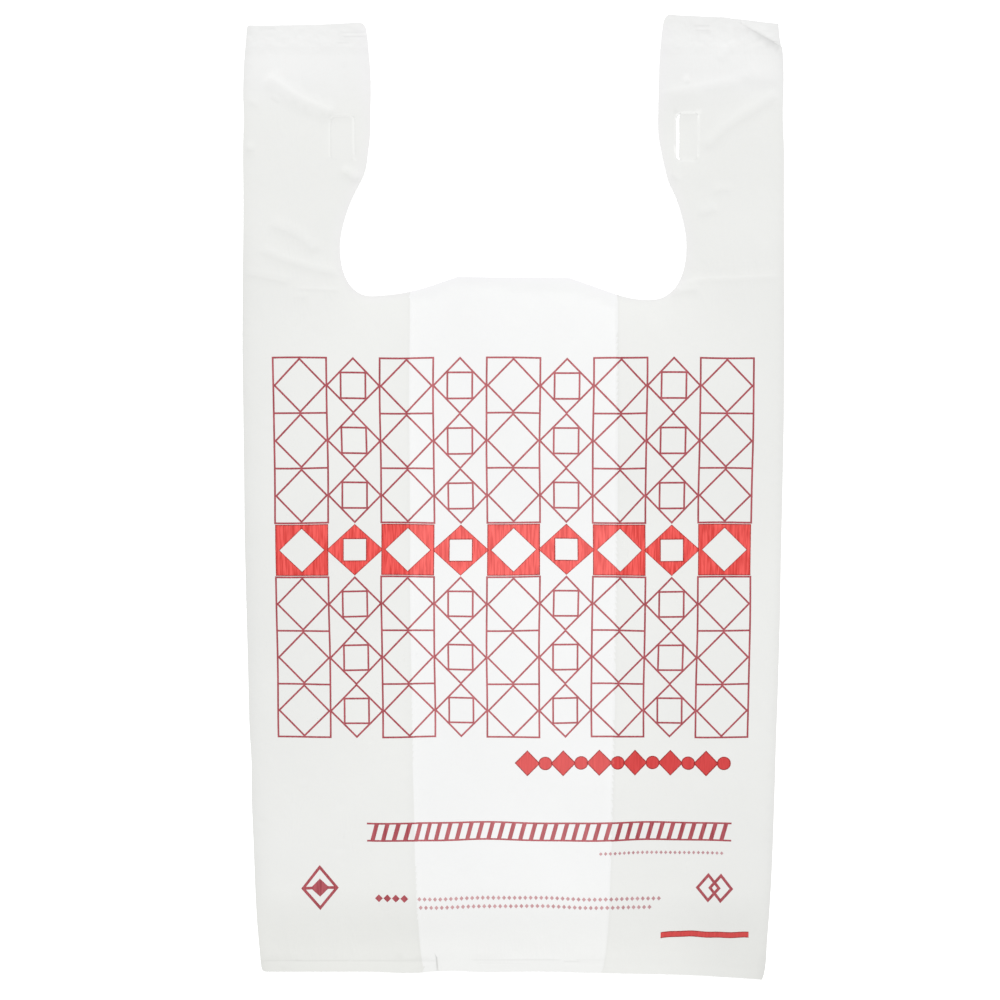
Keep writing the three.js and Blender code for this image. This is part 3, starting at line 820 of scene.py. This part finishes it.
def bead_border(inset=0.0):
    """Beads and diamonds in turn; the inset draws them smaller, most at a diamond's points."""
    y, point = BORDER_TOP - BORDER_HEIGHT / 2, inset * 1.4
    shapes = []
    for i in range(BORDER_COUNT):
        x = BORDER_RIGHT - BORDER_UNIT * (i + 0.5)
        diamond = lozenge(x, y, BORDER_UNIT - DIAMOND_CUT - point, BORDER_HEIGHT / 2 - point)
        shapes.append(diamond if i % 2 else bead(x, y, BEAD_RADIUS - inset))
    return shapes


def centred(left, right, pitch, count):
    """Places at a pitch, in the middle between two ends."""
    first = (left + right) / 2 - pitch * (count - 1) / 2
    return [first + pitch * i for i in range(count)]


def bar_band():
    """Slanted bars between two rails."""
    left, right = BAND_ENDS
    y, half = BAND_TOP - BAND_HEIGHT / 2, BAND_HEIGHT / 2 - BAND_RAIL
    rails = [box((left + right) / 2, y + side * half, (right - left) / 2, BAND_RAIL) for side in (1, -1)]
    count = int((right - left - BAND_BAR - BAND_SLANT) // BAND_PITCH) + 1
    return rails + [slanted(x, y, BAND_BAR, half, BAND_SLANT) for x in centred(left, right, BAND_PITCH, count)]


def diamond_line(left, right, y, pitch, wide, tall):
    places = centred(left, right, pitch, int((right - left) // pitch))
    return [lozenge(x, y, wide / 2, tall / 2) for x in places]


def left_emblem():
    """A diamond with a smaller one and a bar in it."""
    x, y, half = LEFT_EMBLEM, EMBLEM_MIDDLE, EMBLEM_WIDTH / 2
    outline = lozenge_line(x, y, half, EMBLEM_HEIGHT / 2, EMBLEM_STROKE)
    return [outline, lozenge(x, y, half / 2, half / 2), box(x, y, half - EMBLEM_STROKE, EMBLEM_STROKE / 2)]


def right_emblem():
    """Two linked diamonds."""
    half = EMBLEM_WIDTH / 3
    shift = EMBLEM_WIDTH / 2 - half
    return [lozenge_line(RIGHT_EMBLEM + side * shift, EMBLEM_MIDDLE, half, EMBLEM_HEIGHT / 3, EMBLEM_STROKE)
            for side in (-1, 1)]


def plain_bar(half):
    """A plain bar whose edges wander a little."""
    left, right = BAR_ENDS
    xs = spaced(left, right, BAR_HALF)
    wander = 0.32 * np.sin((xs - left) / 6.1) + 0.14 * np.sin((xs - left) / 2.3)
    low, high = BAR_MIDDLE - half + wander, BAR_MIDDLE + half + wander
    return [polygon(*zip(xs, low), *zip(xs[::-1], high[::-1]))]


def rims(shapes, shrunk):
    """Darker lines inside the edges of solid shapes."""
    return [shape + inner for shape, inner in zip(shapes, shrunk)]


def printed_fields():
    """Name, shade and shapes of each printed field."""
    solid, solid_edges = solid_row(SOLID_TOP)
    border, bar = bead_border(), plain_bar(BAR_HALF)
    left, right = LINE_ENDS
    lower = (left, right - LINE_SHORTFALL, LINE_MIDDLE - LINE_PITCH)
    return [
        ("rows_upper", "ink_line", outlined_rows(ROWS_TOP, 3)),
        ("row_solid", "ink_solid", solid),
        ("row_solid_edges", "ink_line", solid_edges),
        ("rows_lower", "ink_line", outlined_rows(SOLID_TOP - ROW_PITCH, 3)),
        ("bead_border", "ink_border", border),
        ("bead_border_edges", "ink_line", rims(border, bead_border(BORDER_EDGE))),
        ("bar_band", "ink_line", bar_band()),
        ("fine_line", "ink_pale", diamond_line(*FINE_ENDS, FINE_TOP - FINE_HEIGHT / 2, *FINE_DIAMOND)),
        ("short_line", "ink_line", diamond_line(*LEAD_ENDS, LINE_MIDDLE, *LEAD_DIAMOND)),
        ("long_line_upper", "ink_pale", diamond_line(left, right, LINE_MIDDLE, *LINE_DIAMOND)),
        ("long_line_lower", "ink_pale", diamond_line(*lower, *LINE_DIAMOND)),
        ("emblem_left", "ink_line", left_emblem()),
        ("emblem_right", "ink_line", right_emblem()),
        ("register_bar", "ink_border", bar),
        ("register_bar_edges", "ink_line", rims(bar, plain_bar(BAR_HALF - BAR_EDGE))),
    ]


FIELDS = printed_fields()


# Triangles

def inside(points, loop):
    x, y = points[:, 0], points[:, 1]
    result = np.zeros(len(points), bool)
    for (x0, y0), (x1, y1) in zip(loop, np.roll(loop, -1, axis=0)):
        if y0 != y1:
            crosses = (y0 > y) != (y1 > y)
            result ^= crosses & (x < (x1 - x0) * (y - y0) / (y1 - y0) + x0)
    return result


def grid_points(loop, step, fixed):
    """Staggered points inside a loop that keep off the fixed ones."""
    low, high = loop.min(0), loop.max(0)
    points = []
    for j, y in enumerate(np.arange(low[1], high[1], step * ROW_SHARE)):
        xs = np.arange(low[0] + (j % 2) * step / 2, high[0], step)
        points.append(np.stack([xs, np.full_like(xs, y)], 1))
    points = np.concatenate(points)
    points = points + rng.uniform(-JITTER, JITTER, points.shape) * step
    points = points[inside(points, loop)]
    return points[distances(tree_of(fixed), points) > step * KEEP_OFF]


def triangulate(outline, holes, loops, lines, step):
    """Triangles of one flat layer: points, faces and where each outline point went."""
    border = np.array(outline.points)
    points, edges = [], []
    for chain, closed in [(c, True) for c in (border, *holes, *loops)] + [(c, False) for c in lines]:
        first, count = len(points), len(chain)
        points.extend(chain.tolist())
        edges.extend((first + i, first + i + 1) for i in range(count - 1))
        if closed:
            edges.append((first + count - 1, first))
    points.extend(grid_points(border, step, np.array(points)).tolist())
    out = delaunay_2d_cdt([Vector(p) for p in points], edges, [], 0, LINE_REACH, True)
    verts, faces = np.array([tuple(v) for v in out[0]]), np.array(out[2])
    went = {old: new for new, olds in enumerate(out[3]) for old in olds}
    middle = verts[faces].mean(1)
    keep = inside(middle, border)
    for hole in holes:
        keep &= ~inside(middle, hole)
    faces = faces[keep]
    a, b, c = (verts[faces[:, i]] for i in range(3))
    area = (b[:, 0] - a[:, 0]) * (c[:, 1] - a[:, 1]) - (c[:, 0] - a[:, 0]) * (b[:, 1] - a[:, 1])
    faces[area < 0] = faces[area < 0][:, ::-1]
    runs = {name: [went[i] for i in indices] for name, indices in outline.runs.items()}
    return verts, faces[np.abs(area) > LEAST_AREA], runs


class Surface:
    """The film's surface as it grows."""

    def __init__(self):
        self.points = []
        self.normals = []
        self.faces = []
        self.count = 0

    def add(self, points, normals, faces):
        first = self.count
        self.points.append(points)
        self.normals.append(normals)
        self.faces.append(np.asarray(faces) + first)
        self.count += len(points)
        return first

    def bend(self, upper, lower, bulge, outside):
        """A half-round strip between two runs of points; its outer face looks along outside."""
        points = np.concatenate(self.points)
        ups, downs = points[upper], points[lower]
        radius = (ups[:, 2] - downs[:, 2]) / 2
        rows = [upper]
        for step in range(1, BEND_STEPS):
            turn = math.pi / 2 - math.pi * step / BEND_STEPS
            away = np.array([*(bulge * math.cos(turn)), math.sin(turn)])
            row = (ups + downs) / 2 + away * radius[:, None]
            facing = away if bulge @ outside > 0 else -away
            first = self.add(row, np.tile(facing, (len(row), 1)), np.zeros((0, 3), int))
            rows.append(list(range(first, first + len(row))))
        rows.append(lower)
        faces = []
        for one, two in zip(rows, rows[1:]):
            for i in range(len(one) - 1):
                faces += [(one[i], two[i], two[i + 1]), (one[i], two[i + 1], one[i + 1])]
        faces = np.array(faces)
        points = np.concatenate(self.points)
        a, b, c = (points[faces[:, i]] for i in range(3))
        if np.cross(b - a, c - a).sum(0)[:2] @ outside < 0:
            faces = faces[:, ::-1]
        self.faces.append(faces)


def ink_loops():
    return [dense(loop, INK_STEP, True) for *_, shapes in FIELDS for shape in shapes for loop, _ in shape]


def crease_lines(crease):
    """A crease's crest, its two feet and the middle of each flank."""
    _, above, below, _, points = crease
    points = np.array(points, float)
    runs = np.diff(points, axis=0)
    left = np.stack([-runs[:, 1], runs[:, 0]], 1) / np.linalg.norm(runs, axis=1)[:, None]
    joints = np.concatenate([left[:1], (left[:-1] + left[1:]) / 2, left[-1:]])
    return [dense(points + joints * move, CREASE_STEP) for move in (0.0, above / 2, above, -below / 2, -below)]


def fold_lines():
    """Lines that the front's triangles follow: folds, seals, creases, tabs and pressed marks."""
    lines = []
    for side, _ in SIDES:
        line = inner_fold_line(side)[1:-1]
        lines += [line + np.array([side * move, 0.0]) for move in (-2.2, -FOLD_SHOULDER, 0.0, 0.8, 1.7)]
    xs = spaced(-OUTER_FOLD + 8, OUTER_FOLD - 8)
    for inset in (SEAL_INSET, SEAL_INSET + SEAL_WIDTH):
        lines.append(np.stack([xs, bottom_edge(xs) + inset], 1))
        for side, end in ((-1, TOP_OUTER - 3), (1, FOLD_HEAD_X - 2)):
            tops = side * spaced(TOP_INNER + 1.5, end)
            lines.append(np.stack([tops, top_edge(tops) - inset], 1))
    for crease in CREASES:
        lines += crease_lines(crease)
    return lines + tab_lines() + pressed_lines()


def pressed_lines():
    """Lines along and beside the pressed marks."""
    lines = []
    for start, end, _ in PRESSED:
        run = np.subtract(end, start) / math.dist(start, end)
        aside = np.array([-run[1], run[0]]) * PRESS_WIDTH
        lines += [straight(start, end) + aside * move for move in (-2, -1, 0, 1, 2)]
    return lines


def tab_lines():
    """Lines just outside and inside the tabs' slits, and across their hinges."""
    lines = []
    for side, _ in SIDES:
        x0, x1, low, high = tab_box(side)
        left, top, right = SLIT_WIDTHS[side]
        for out in (0.55, 1.3):
            lines.append(dense([(x0 - out, low + 2), (x0 - out, high - 1), (x0 + 2, high + out),
                                (x1 - 2, high + out), (x1 + out, high - 1), (x1 + out, low + 2)]))
        for out in (0.8, 1.9):
            a, b, roof = x0 + left + out, x1 - right - out, high - top - out
            lines.append(dense([(a, low + 3), (a, roof), (b, roof), (b, low + 3)]))
        lines += [dense([(x0 + 2, low - out), (x1 - 2, low - out)]) for out in (0.0, 0.5, 1.2)]
    return lines


def corner_lines():
    """Lines beside the corner fold, on the layers that show past it."""
    return [CORNER_LINE[2:-3] + CORNER_OUT * move for move in (0.0, 0.5, 1.1, 2.0)]


def build_layers():
    """All layers of the film as height-mapped triangles in one surface, with their fold runs."""
    surface, runs = Surface(), {}
    slits = {side: tab_slit(side) for side, _ in SIDES}
    both = list(slits.values())
    jobs = [
        (3, "panel", panel_outline(True), both, ink_loops(), fold_lines(), FRONT_STEP),
        (0, "panel", panel_outline(False), both, [], corner_lines(), BACK_STEP),
    ]
    for side, name in SIDES:
        for k in (1, 2):
            lines = corner_lines() if (side, k) == (1, 1) else []
            jobs.append((k, name, gusset_outline(side, k == 2), [slits[side]], [], lines, BACK_STEP))
    for k, name, outline, holes, loops, lines, step in jobs:
        verts, faces, found = triangulate(outline, holes, loops, lines, step)
        x, y = verts[:, 0], verts[:, 1]
        dx, dy = shifts(k, x, y)
        points = np.stack([x + dx, y + dy, layer_height(k, x, y)], 1)
        first = surface.add(points, layer_normals(k, x, y), faces if k % 2 else faces[:, ::-1])
        for run, indices in found.items():
            runs[(k, name, run)] = [first + i for i in indices]
        if k == 3:
            front = (verts, faces)
    return surface, runs, front


def join_folds(surface, runs):
    """Bends at the outer folds, the inner folds and the folded corner."""
    for side, name in SIDES:
        out = np.array([side, 0.0])
        outer, inner = "outer_" + name, "inner_" + name
        surface.bend(runs[(3, "panel", outer)], runs[(2, name, outer)], out, out)
        surface.bend(runs[(1, name, outer)], runs[(0, "panel", outer)], out, out)
        surface.bend(runs[(2, name, inner)], runs[(1, name, inner)], -out, out)
    surface.bend(runs[(3, "panel", "corner")], runs[(2, "right", "corner")], CORNER_OUT, CORNER_OUT)


def put(name, data):
    thing = bpy.data.objects.new(name, data)
    bpy.context.scene.collection.objects.link(thing)
    return thing


def shell(name, points, normals, faces, above, below):
    """A solid with its faces above and below a surface and a rim along its cut edges."""
    count = len(points)
    sides = np.concatenate([faces[:, [0, 1]], faces[:, [1, 2]], faces[:, [2, 0]]])
    _, index, seen = np.unique(np.sort(sides, axis=1), axis=0, return_index=True, return_counts=True)
    a, b = sides[index[seen == 1]].T
    rim = np.concatenate([np.stack([b, a, a + count], 1), np.stack([b, a + count, b + count], 1)])
    both = np.concatenate([points + normals * above, points - normals * below])
    mesh = new_mesh(name, both, np.concatenate([faces, faces[:, ::-1] + count, rim]))
    mark_zones(mesh)
    looks = np.concatenate([normals[faces.ravel()], -normals[faces[:, ::-1].ravel()], np.zeros((rim.size, 3))])
    mesh.normals_split_custom_set(looks.tolist())
    return put(name, mesh)


def new_mesh(name, points, faces):
    """A smooth mesh in the frame, sharp along its rims."""
    mesh = bpy.data.meshes.new(name)
    places = (points + np.array([0.0, ORIGIN_Y, 0.0])) * MM
    mesh.vertices.add(len(points))
    mesh.vertices.foreach_set("co", places.astype(np.float32).ravel())
    mesh.loops.add(faces.size)
    mesh.loops.foreach_set("vertex_index", faces.astype(np.int32).ravel())
    mesh.polygons.add(len(faces))
    mesh.polygons.foreach_set("loop_start", np.arange(0, faces.size, 3, dtype=np.int32))
    mesh.update(calc_edges=True)
    mesh.polygons.foreach_set("use_smooth", np.ones(len(faces), bool))
    mesh.set_sharp_from_angle(angle=SHARP_ANGLE)
    return mesh


def places_of(items, key):
    """X and Y on the blank of a mesh's vertices or face centres."""
    places = np.zeros(len(items) * 3)
    items.foreach_get(key, places)
    x, y, _ = (places.reshape(-1, 3) / MM).T
    return x, y - ORIGIN_Y


def mark_zones(mesh):
    """Marks where the gussets double the film, and the painted light and shade of how light passes it."""
    x, y = places_of(mesh.polygons, "center")
    doubled = (np.abs(x) > inner_fold(y)) * (1.0 - 0.3 * near_top(y) - 0.3 * ease(y, 60, 20) * (x > 0))
    mark = mesh.attributes.new("doubled", "FLOAT", "FACE")
    mark.data.foreach_set("value", doubled.astype(np.float32))
    tone = mesh.attributes.new("tone", "FLOAT_COLOR", "POINT")
    tone.data.foreach_set("color", film_painted_light(*places_of(mesh.vertices, "co")).astype(np.float32).ravel())


# Painted light and shade: how light passes the film and falls on it, as shares of its colour

def near_top(y):
    return ease(y, 478, 500)


def film_painted_light(x, y):
    """Painted light and shade, with a slight tint, as a colour for each point."""
    edge = from_fold(x, y)
    body = 1.0 - 0.8 * ease(y, 385, 435)
    # Painted shade: darker over the outer strips, at the outer folds, at the bottom and its seal, and at the
    # lower right
    tone = 1.0 - (0.004 + 0.028 * ease(np.abs(x), 62, 137)) * body
    tone -= 0.025 * fade(edge, 5) + 0.035 * fade(edge, 1.3)
    tone -= 0.014 * ease(y, 46, 6) + 0.018 * ease(y, 13, 4)
    tone -= 0.034 * fade(np.hypot(x - OUTER_FOLD, y), 60) + 0.028 * ease(y, 70, 30) * ease(x, 80, 120)
    # Painted shade at the lower left corner and the right handle's top, and beside each inner fold a painted
    # dark line on the gusset side and a painted light line on the middle side
    tone -= 0.02 * hump(x, y, -132, 2, 14, 6) + 0.008 * near_top(y) * (x > 0)
    beside = np.abs(x) - inner_fold(y)
    tone -= 0.022 * bell((beside - 0.8) / 0.7) - 0.012 * bell((beside + 1.3) / 0.8)
    # The shadow under the folded corner, with a light line past it
    off, along = corner_distance(x, y)
    under = (off > -0.05) * smooth(along * 8) * (along < 1.0)
    tone -= under * ((0.22 - 0.1 * along) * bell(off / 0.55) - 0.03 * bell((off - 1.6) / 0.8))
    tone += tab_painted_light(x, y) - pressed_painted_shade(x, y)
    # Painted light along the neck's cut edges and a little at the top, cooler in hue; a warmer tint towards the
    # bottom and a slightly darker, bluer one at the top
    cool = 0.016 * bell(neck_distance(x, y) / 2.6) * (y > BODY_LENGTH - 4) + 0.004 * near_top(y)
    warm = 0.013 * ease(y, 70, 10)
    top = 0.004 * ease(y, 470, 500)
    return np.stack([tone + cool * 0.6 - top, tone - top, tone + cool - warm, np.ones_like(tone)], 1)


# Painted shade along the pressed lines
def pressed_painted_shade(x, y):
    return sum(depth * bell(segment(x, y, start, end)[0] / PRESS_WIDTH) for start, end, depth in PRESSED)


def tab_painted_light(x, y):
    """Light along the cut edges beside the tabs and shade inside them."""
    total = np.zeros_like(x)
    for side, _ in SIDES:
        x0, x1, low, high = tab_box(side)
        over = y - high
        bend = 1.0 - np.sqrt(np.clip((high - y) / TAB_SWEEP, 0.0, 1.0))
        aside = np.maximum(x0 + TAB_CORNER * bend**2 - x, x - x1)
        beside = np.where(over > 0, np.hypot(np.maximum(aside, 0.0), over), aside)
        light = TAB_LIGHT[side] * np.where((x < x0) & (side > 0), 0.2, 1.0) * bell(beside / 0.7)
        shade = TAB_SHADE[side] * fade(-over, 1.6) + 0.03 * fade(-aside, 0.6) * (side < 0)
        within = (aside < 0.0) & (over < 0.0)
        total += ((np.where(beside > -0.02, light, 0.0) - np.where(within, shade, 0.0))
                  * smooth((y - low + 3) / 4))
        if side > 0:
            # A painted light line along the right tab's foot
            total += 0.05 * bell((y - low + 0.5) / 0.7) * smooth(-aside / 1.5)
    return total


def ink_piece(name, shapes, points, normals, faces, places):
    """The front's own triangles that the shapes cover, a hair above the film."""
    middle = places[faces].mean(1)
    chosen = np.zeros(len(faces), bool)
    for shape in shapes:
        chosen |= sum(covers(middle) for _, covers in shape) == 1
    used, renumbered = np.unique(faces[chosen], return_inverse=True)
    raised = points[used] + normals[used] * (FILM / 2 + INK_RISE)
    return shell(name, raised, normals[used], renumbered.reshape(-1, 3), INK_DEPTH, 0.0)


# Materials

class Nodes:
    """Short calls for a node tree. Each input is a value or another node's output."""

    def __init__(self, tree):
        self.tree = tree

    def add(self, kind, inputs=None, **settings):
        node = self.tree.nodes.new("ShaderNode" + kind)
        for key, value in settings.items():
            setattr(node, key, value)
        for key, value in (inputs or {}).items():
            socket = node.inputs[key]
            if isinstance(value, bpy.types.NodeSocket):
                self.tree.links.new(value, socket)
            elif isinstance(value, tuple) and len(value) < len(socket.default_value):
                socket.default_value = (*value, 1.0)
            else:
                socket.default_value = value
        return node

    def noise(self, vector, scale, detail=2.0, roughness=0.5, distortion=0.0):
        return self.add("TexNoise", {"Vector": vector, "Scale": scale, "Detail": detail, "Roughness": roughness,
                                     "Distortion": distortion}).outputs["Fac"]

    def scaled(self, vector, scale):
        return self.add("Mapping", {"Vector": vector, "Scale": scale}).outputs["Vector"]

    def ramp(self, source, *stops):
        """Greys between two stops, each a place and a level."""
        node = self.add("ValToRGB", {"Fac": source})
        for element, (place, level) in zip(node.color_ramp.elements, stops):
            element.position = place
            element.color = (level, level, level, 1.0)
        return node.outputs["Color"]

    def mix(self, factor, one, two, mode="MIX"):
        return self.add("Mix", {0: factor, 6: one, 7: two}, data_type="RGBA", blend_type=mode).outputs[2]

    def math(self, operation, one, two):
        return self.add("Math", {0: one, 1: two}, operation=operation).outputs[0]

    def bump(self, height, strength, distance, normal=None):
        inputs = {"Height": height, "Strength": strength, "Distance": distance}
        if normal:
            inputs["Normal"] = normal
        return self.add("Bump", inputs).outputs["Normal"]

    def attribute(self, name, output):
        return self.add("Attribute", attribute_name=name).outputs[output]

    def seen(self, level):
        """The level, but 1 for rays that show the surface in the picture and light nothing."""
        path = self.add("LightPath")
        for ray in ("Camera", "Glossy", "Transmission"):
            level = self.math("MAXIMUM", path.outputs[f"Is {ray} Ray"], level)
        return level


def new_material(name):
    material = bpy.data.materials.new(name)
    material.use_nodes = True
    material.node_tree.nodes.clear()
    return material, Nodes(material.node_tree)


def film_bump(n, place):
    """Crinkle of thin film: long faint creases, a soft mottle, pressed spots by the handles' ends."""
    creases = n.noise(n.scaled(place, (1.0, 0.35, 1.0)), 70.0, 3.0, 0.55, 0.6)
    mottle = n.noise(place, 210.0)
    pressed = n.noise(place, 240.0, 1.0, 0.4)
    y = n.add("SeparateXYZ", {0: place}).outputs["Y"]
    ends = n.math("SUBTRACT", y, EMBOSS_START * MM)
    ends = n.math("MULTIPLY", ends, 1.0 / (EMBOSS_REACH * MM))
    ends = n.math("MINIMUM", n.math("MAXIMUM", ends, 0.0), 1.0)
    normal = n.bump(mottle, 0.14, 0.0003, n.bump(creases, 0.5, 0.0006))
    return n.bump(n.math("MULTIPLY", pressed, ends), 0.3, 0.0006, normal)


def film_shader(n, place, colour, roughness, specular):
    """What film and ink share: their painted light and shade with its tint, and the crinkle."""
    colour = n.mix(1.0, colour, n.attribute("tone", "Color"), "MULTIPLY")
    shader = n.add("BsdfPrincipled", {"Base Color": colour, "Roughness": roughness,
                                      "Specular IOR Level": specular, "Normal": film_bump(n, place)})
    n.add("OutputMaterial", {"Surface": shader.outputs["BSDF"]})


def film_material():
    material, n = new_material("film")
    place = n.add("TexCoord").outputs["Object"]
    # The darker colour where the gussets double the film is painted shade of light passing more layers
    colour = n.mix(n.attribute("doubled", "Fac"), *FILM_COLOURS)
    cloud = n.ramp(n.noise(place, 9.0, 3.0), (0.3, 0.965), (0.7, 1.0))
    roughness = n.ramp(n.noise(place, 40.0), (0.3, 0.4), (0.7, 0.52))
    film_shader(n, place, n.mix(1.0, colour, cloud, "MULTIPLY"), roughness, 0.4)
    return material


def ink_material(name, dark, light, spread):
    """Thin ink, streaked along the print's run, with painted light that makes it lighter where no gusset backs
    it and painted shade where one does.
    """
    material, n = new_material(name)
    place = n.add("TexCoord").outputs["Object"]
    grain = n.noise(n.scaled(place, (1000.0, 70.0, 1.0)), 1.0, 2.0, 0.5, 0.6)
    colour = n.mix(n.ramp(grain, (0.5 - spread, 0.0), (0.5 + spread, 1.0)), dark, light)
    # Painted light over the single film, painted shade over the doubled film
    single = n.mix(0.08, colour, (1.0, 0.62, 0.6))
    doubled = n.mix(1.0, colour, (0.915, 0.915, 0.915), "MULTIPLY")
    film_shader(n, place, n.mix(n.attribute("doubled", "Fac"), single, doubled), 0.46, 0.45)
    return material


def floor_material():
    """A pale floor that the camera sees as white, but for the shadow on it."""
    material, n = new_material("floor")
    paint = n.add("BsdfPrincipled", {"Base Color": (0.86, 0.86, 0.86), "Roughness": 0.9,
                                     "Specular IOR Level": 0.1})
    level = n.math("MULTIPLY", n.seen(0.0), FLOOR_GLOW)
    glow = n.add("Emission", {"Color": (1.0, 1.0, 1.0), "Strength": level})
    both = n.add("AddShader", {0: paint.outputs[0], 1: glow.outputs[0]})
    n.add("OutputMaterial", {"Surface": both.outputs[0]})
    return material


# The stage

def floor():
    mesh = bpy.data.meshes.new("floor")
    corners = [(FLOOR_HALF * x, FLOOR_HALF * y, 0) for x, y in ((-1, -1), (1, -1), (1, 1), (-1, 1))]
    mesh.from_pydata(corners, [], [(0, 1, 2, 3)])
    mesh.materials.append(floor_material())
    put("floor", mesh)


def camera():
    data = bpy.data.cameras.new("camera")
    data.sensor_width = 36.0
    data.lens = LENS_RATIO * data.sensor_width
    viewer = put("camera", data)
    toward = Vector((0.0, math.sin(CAMERA_TILT), math.cos(CAMERA_TILT)))
    viewer.location = Vector(CAMERA_AIM) + CAMERA_DISTANCE * toward
    viewer.rotation_euler = (-CAMERA_TILT, 0.0, 0.0)
    bpy.context.scene.camera = viewer


def lights():
    world = bpy.data.worlds.new("studio")
    bpy.context.scene.world = world
    world.use_nodes = True
    n = Nodes(world.node_tree)
    back = n.tree.nodes["Background"]
    back.inputs["Color"].default_value = (1.0, 1.0, 1.0, 1.0)
    n.tree.links.new(n.seen(AMBIENT), back.inputs["Strength"])
    data = bpy.data.lights.new("key", "SUN")
    data.energy = KEY_STRENGTH
    data.angle = KEY_ANGLE
    put("key", data).rotation_euler = (-Vector(KEY_SIDE)).to_track_quat("-Z", "Y").to_euler()


camera()
lights()
floor()
bpy.context.scene.view_settings.view_transform = "Standard"

MATERIALS = {
    "film": film_material(),
    "ink_solid": ink_material("ink_solid", (0.70, 0.038, 0.031), (1.0, 0.116, 0.103), 0.13),
    "ink_border": ink_material("ink_border", (0.57, 0.026, 0.026), (0.78, 0.066, 0.065), 0.35),
    "ink_line": ink_material("ink_line", (0.34, 0.045, 0.06), (0.48, 0.095, 0.115), 0.15),
    "ink_pale": ink_material("ink_pale", (0.50, 0.25, 0.27), (0.62, 0.36, 0.38), 0.15),
}


def dress(piece, node, shade):
    piece.data.materials.append(MATERIALS[shade])
    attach(piece, "root")
    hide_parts(node)


surface, runs, (front_places, front_faces) = build_layers()
join_folds(surface, runs)
bag = (np.concatenate(parts) for parts in (surface.points, surface.normals, surface.faces))
dress(shell("film", *bag, FILM / 2, FILM / 2), "bag_film", "film")

for name, shade, shapes in FIELDS:
    piece = ink_piece("ink_" + name, shapes, surface.points[0], surface.normals[0], front_faces, front_places)
    dress(piece, "print_" + name.removesuffix("_edges"), shade)
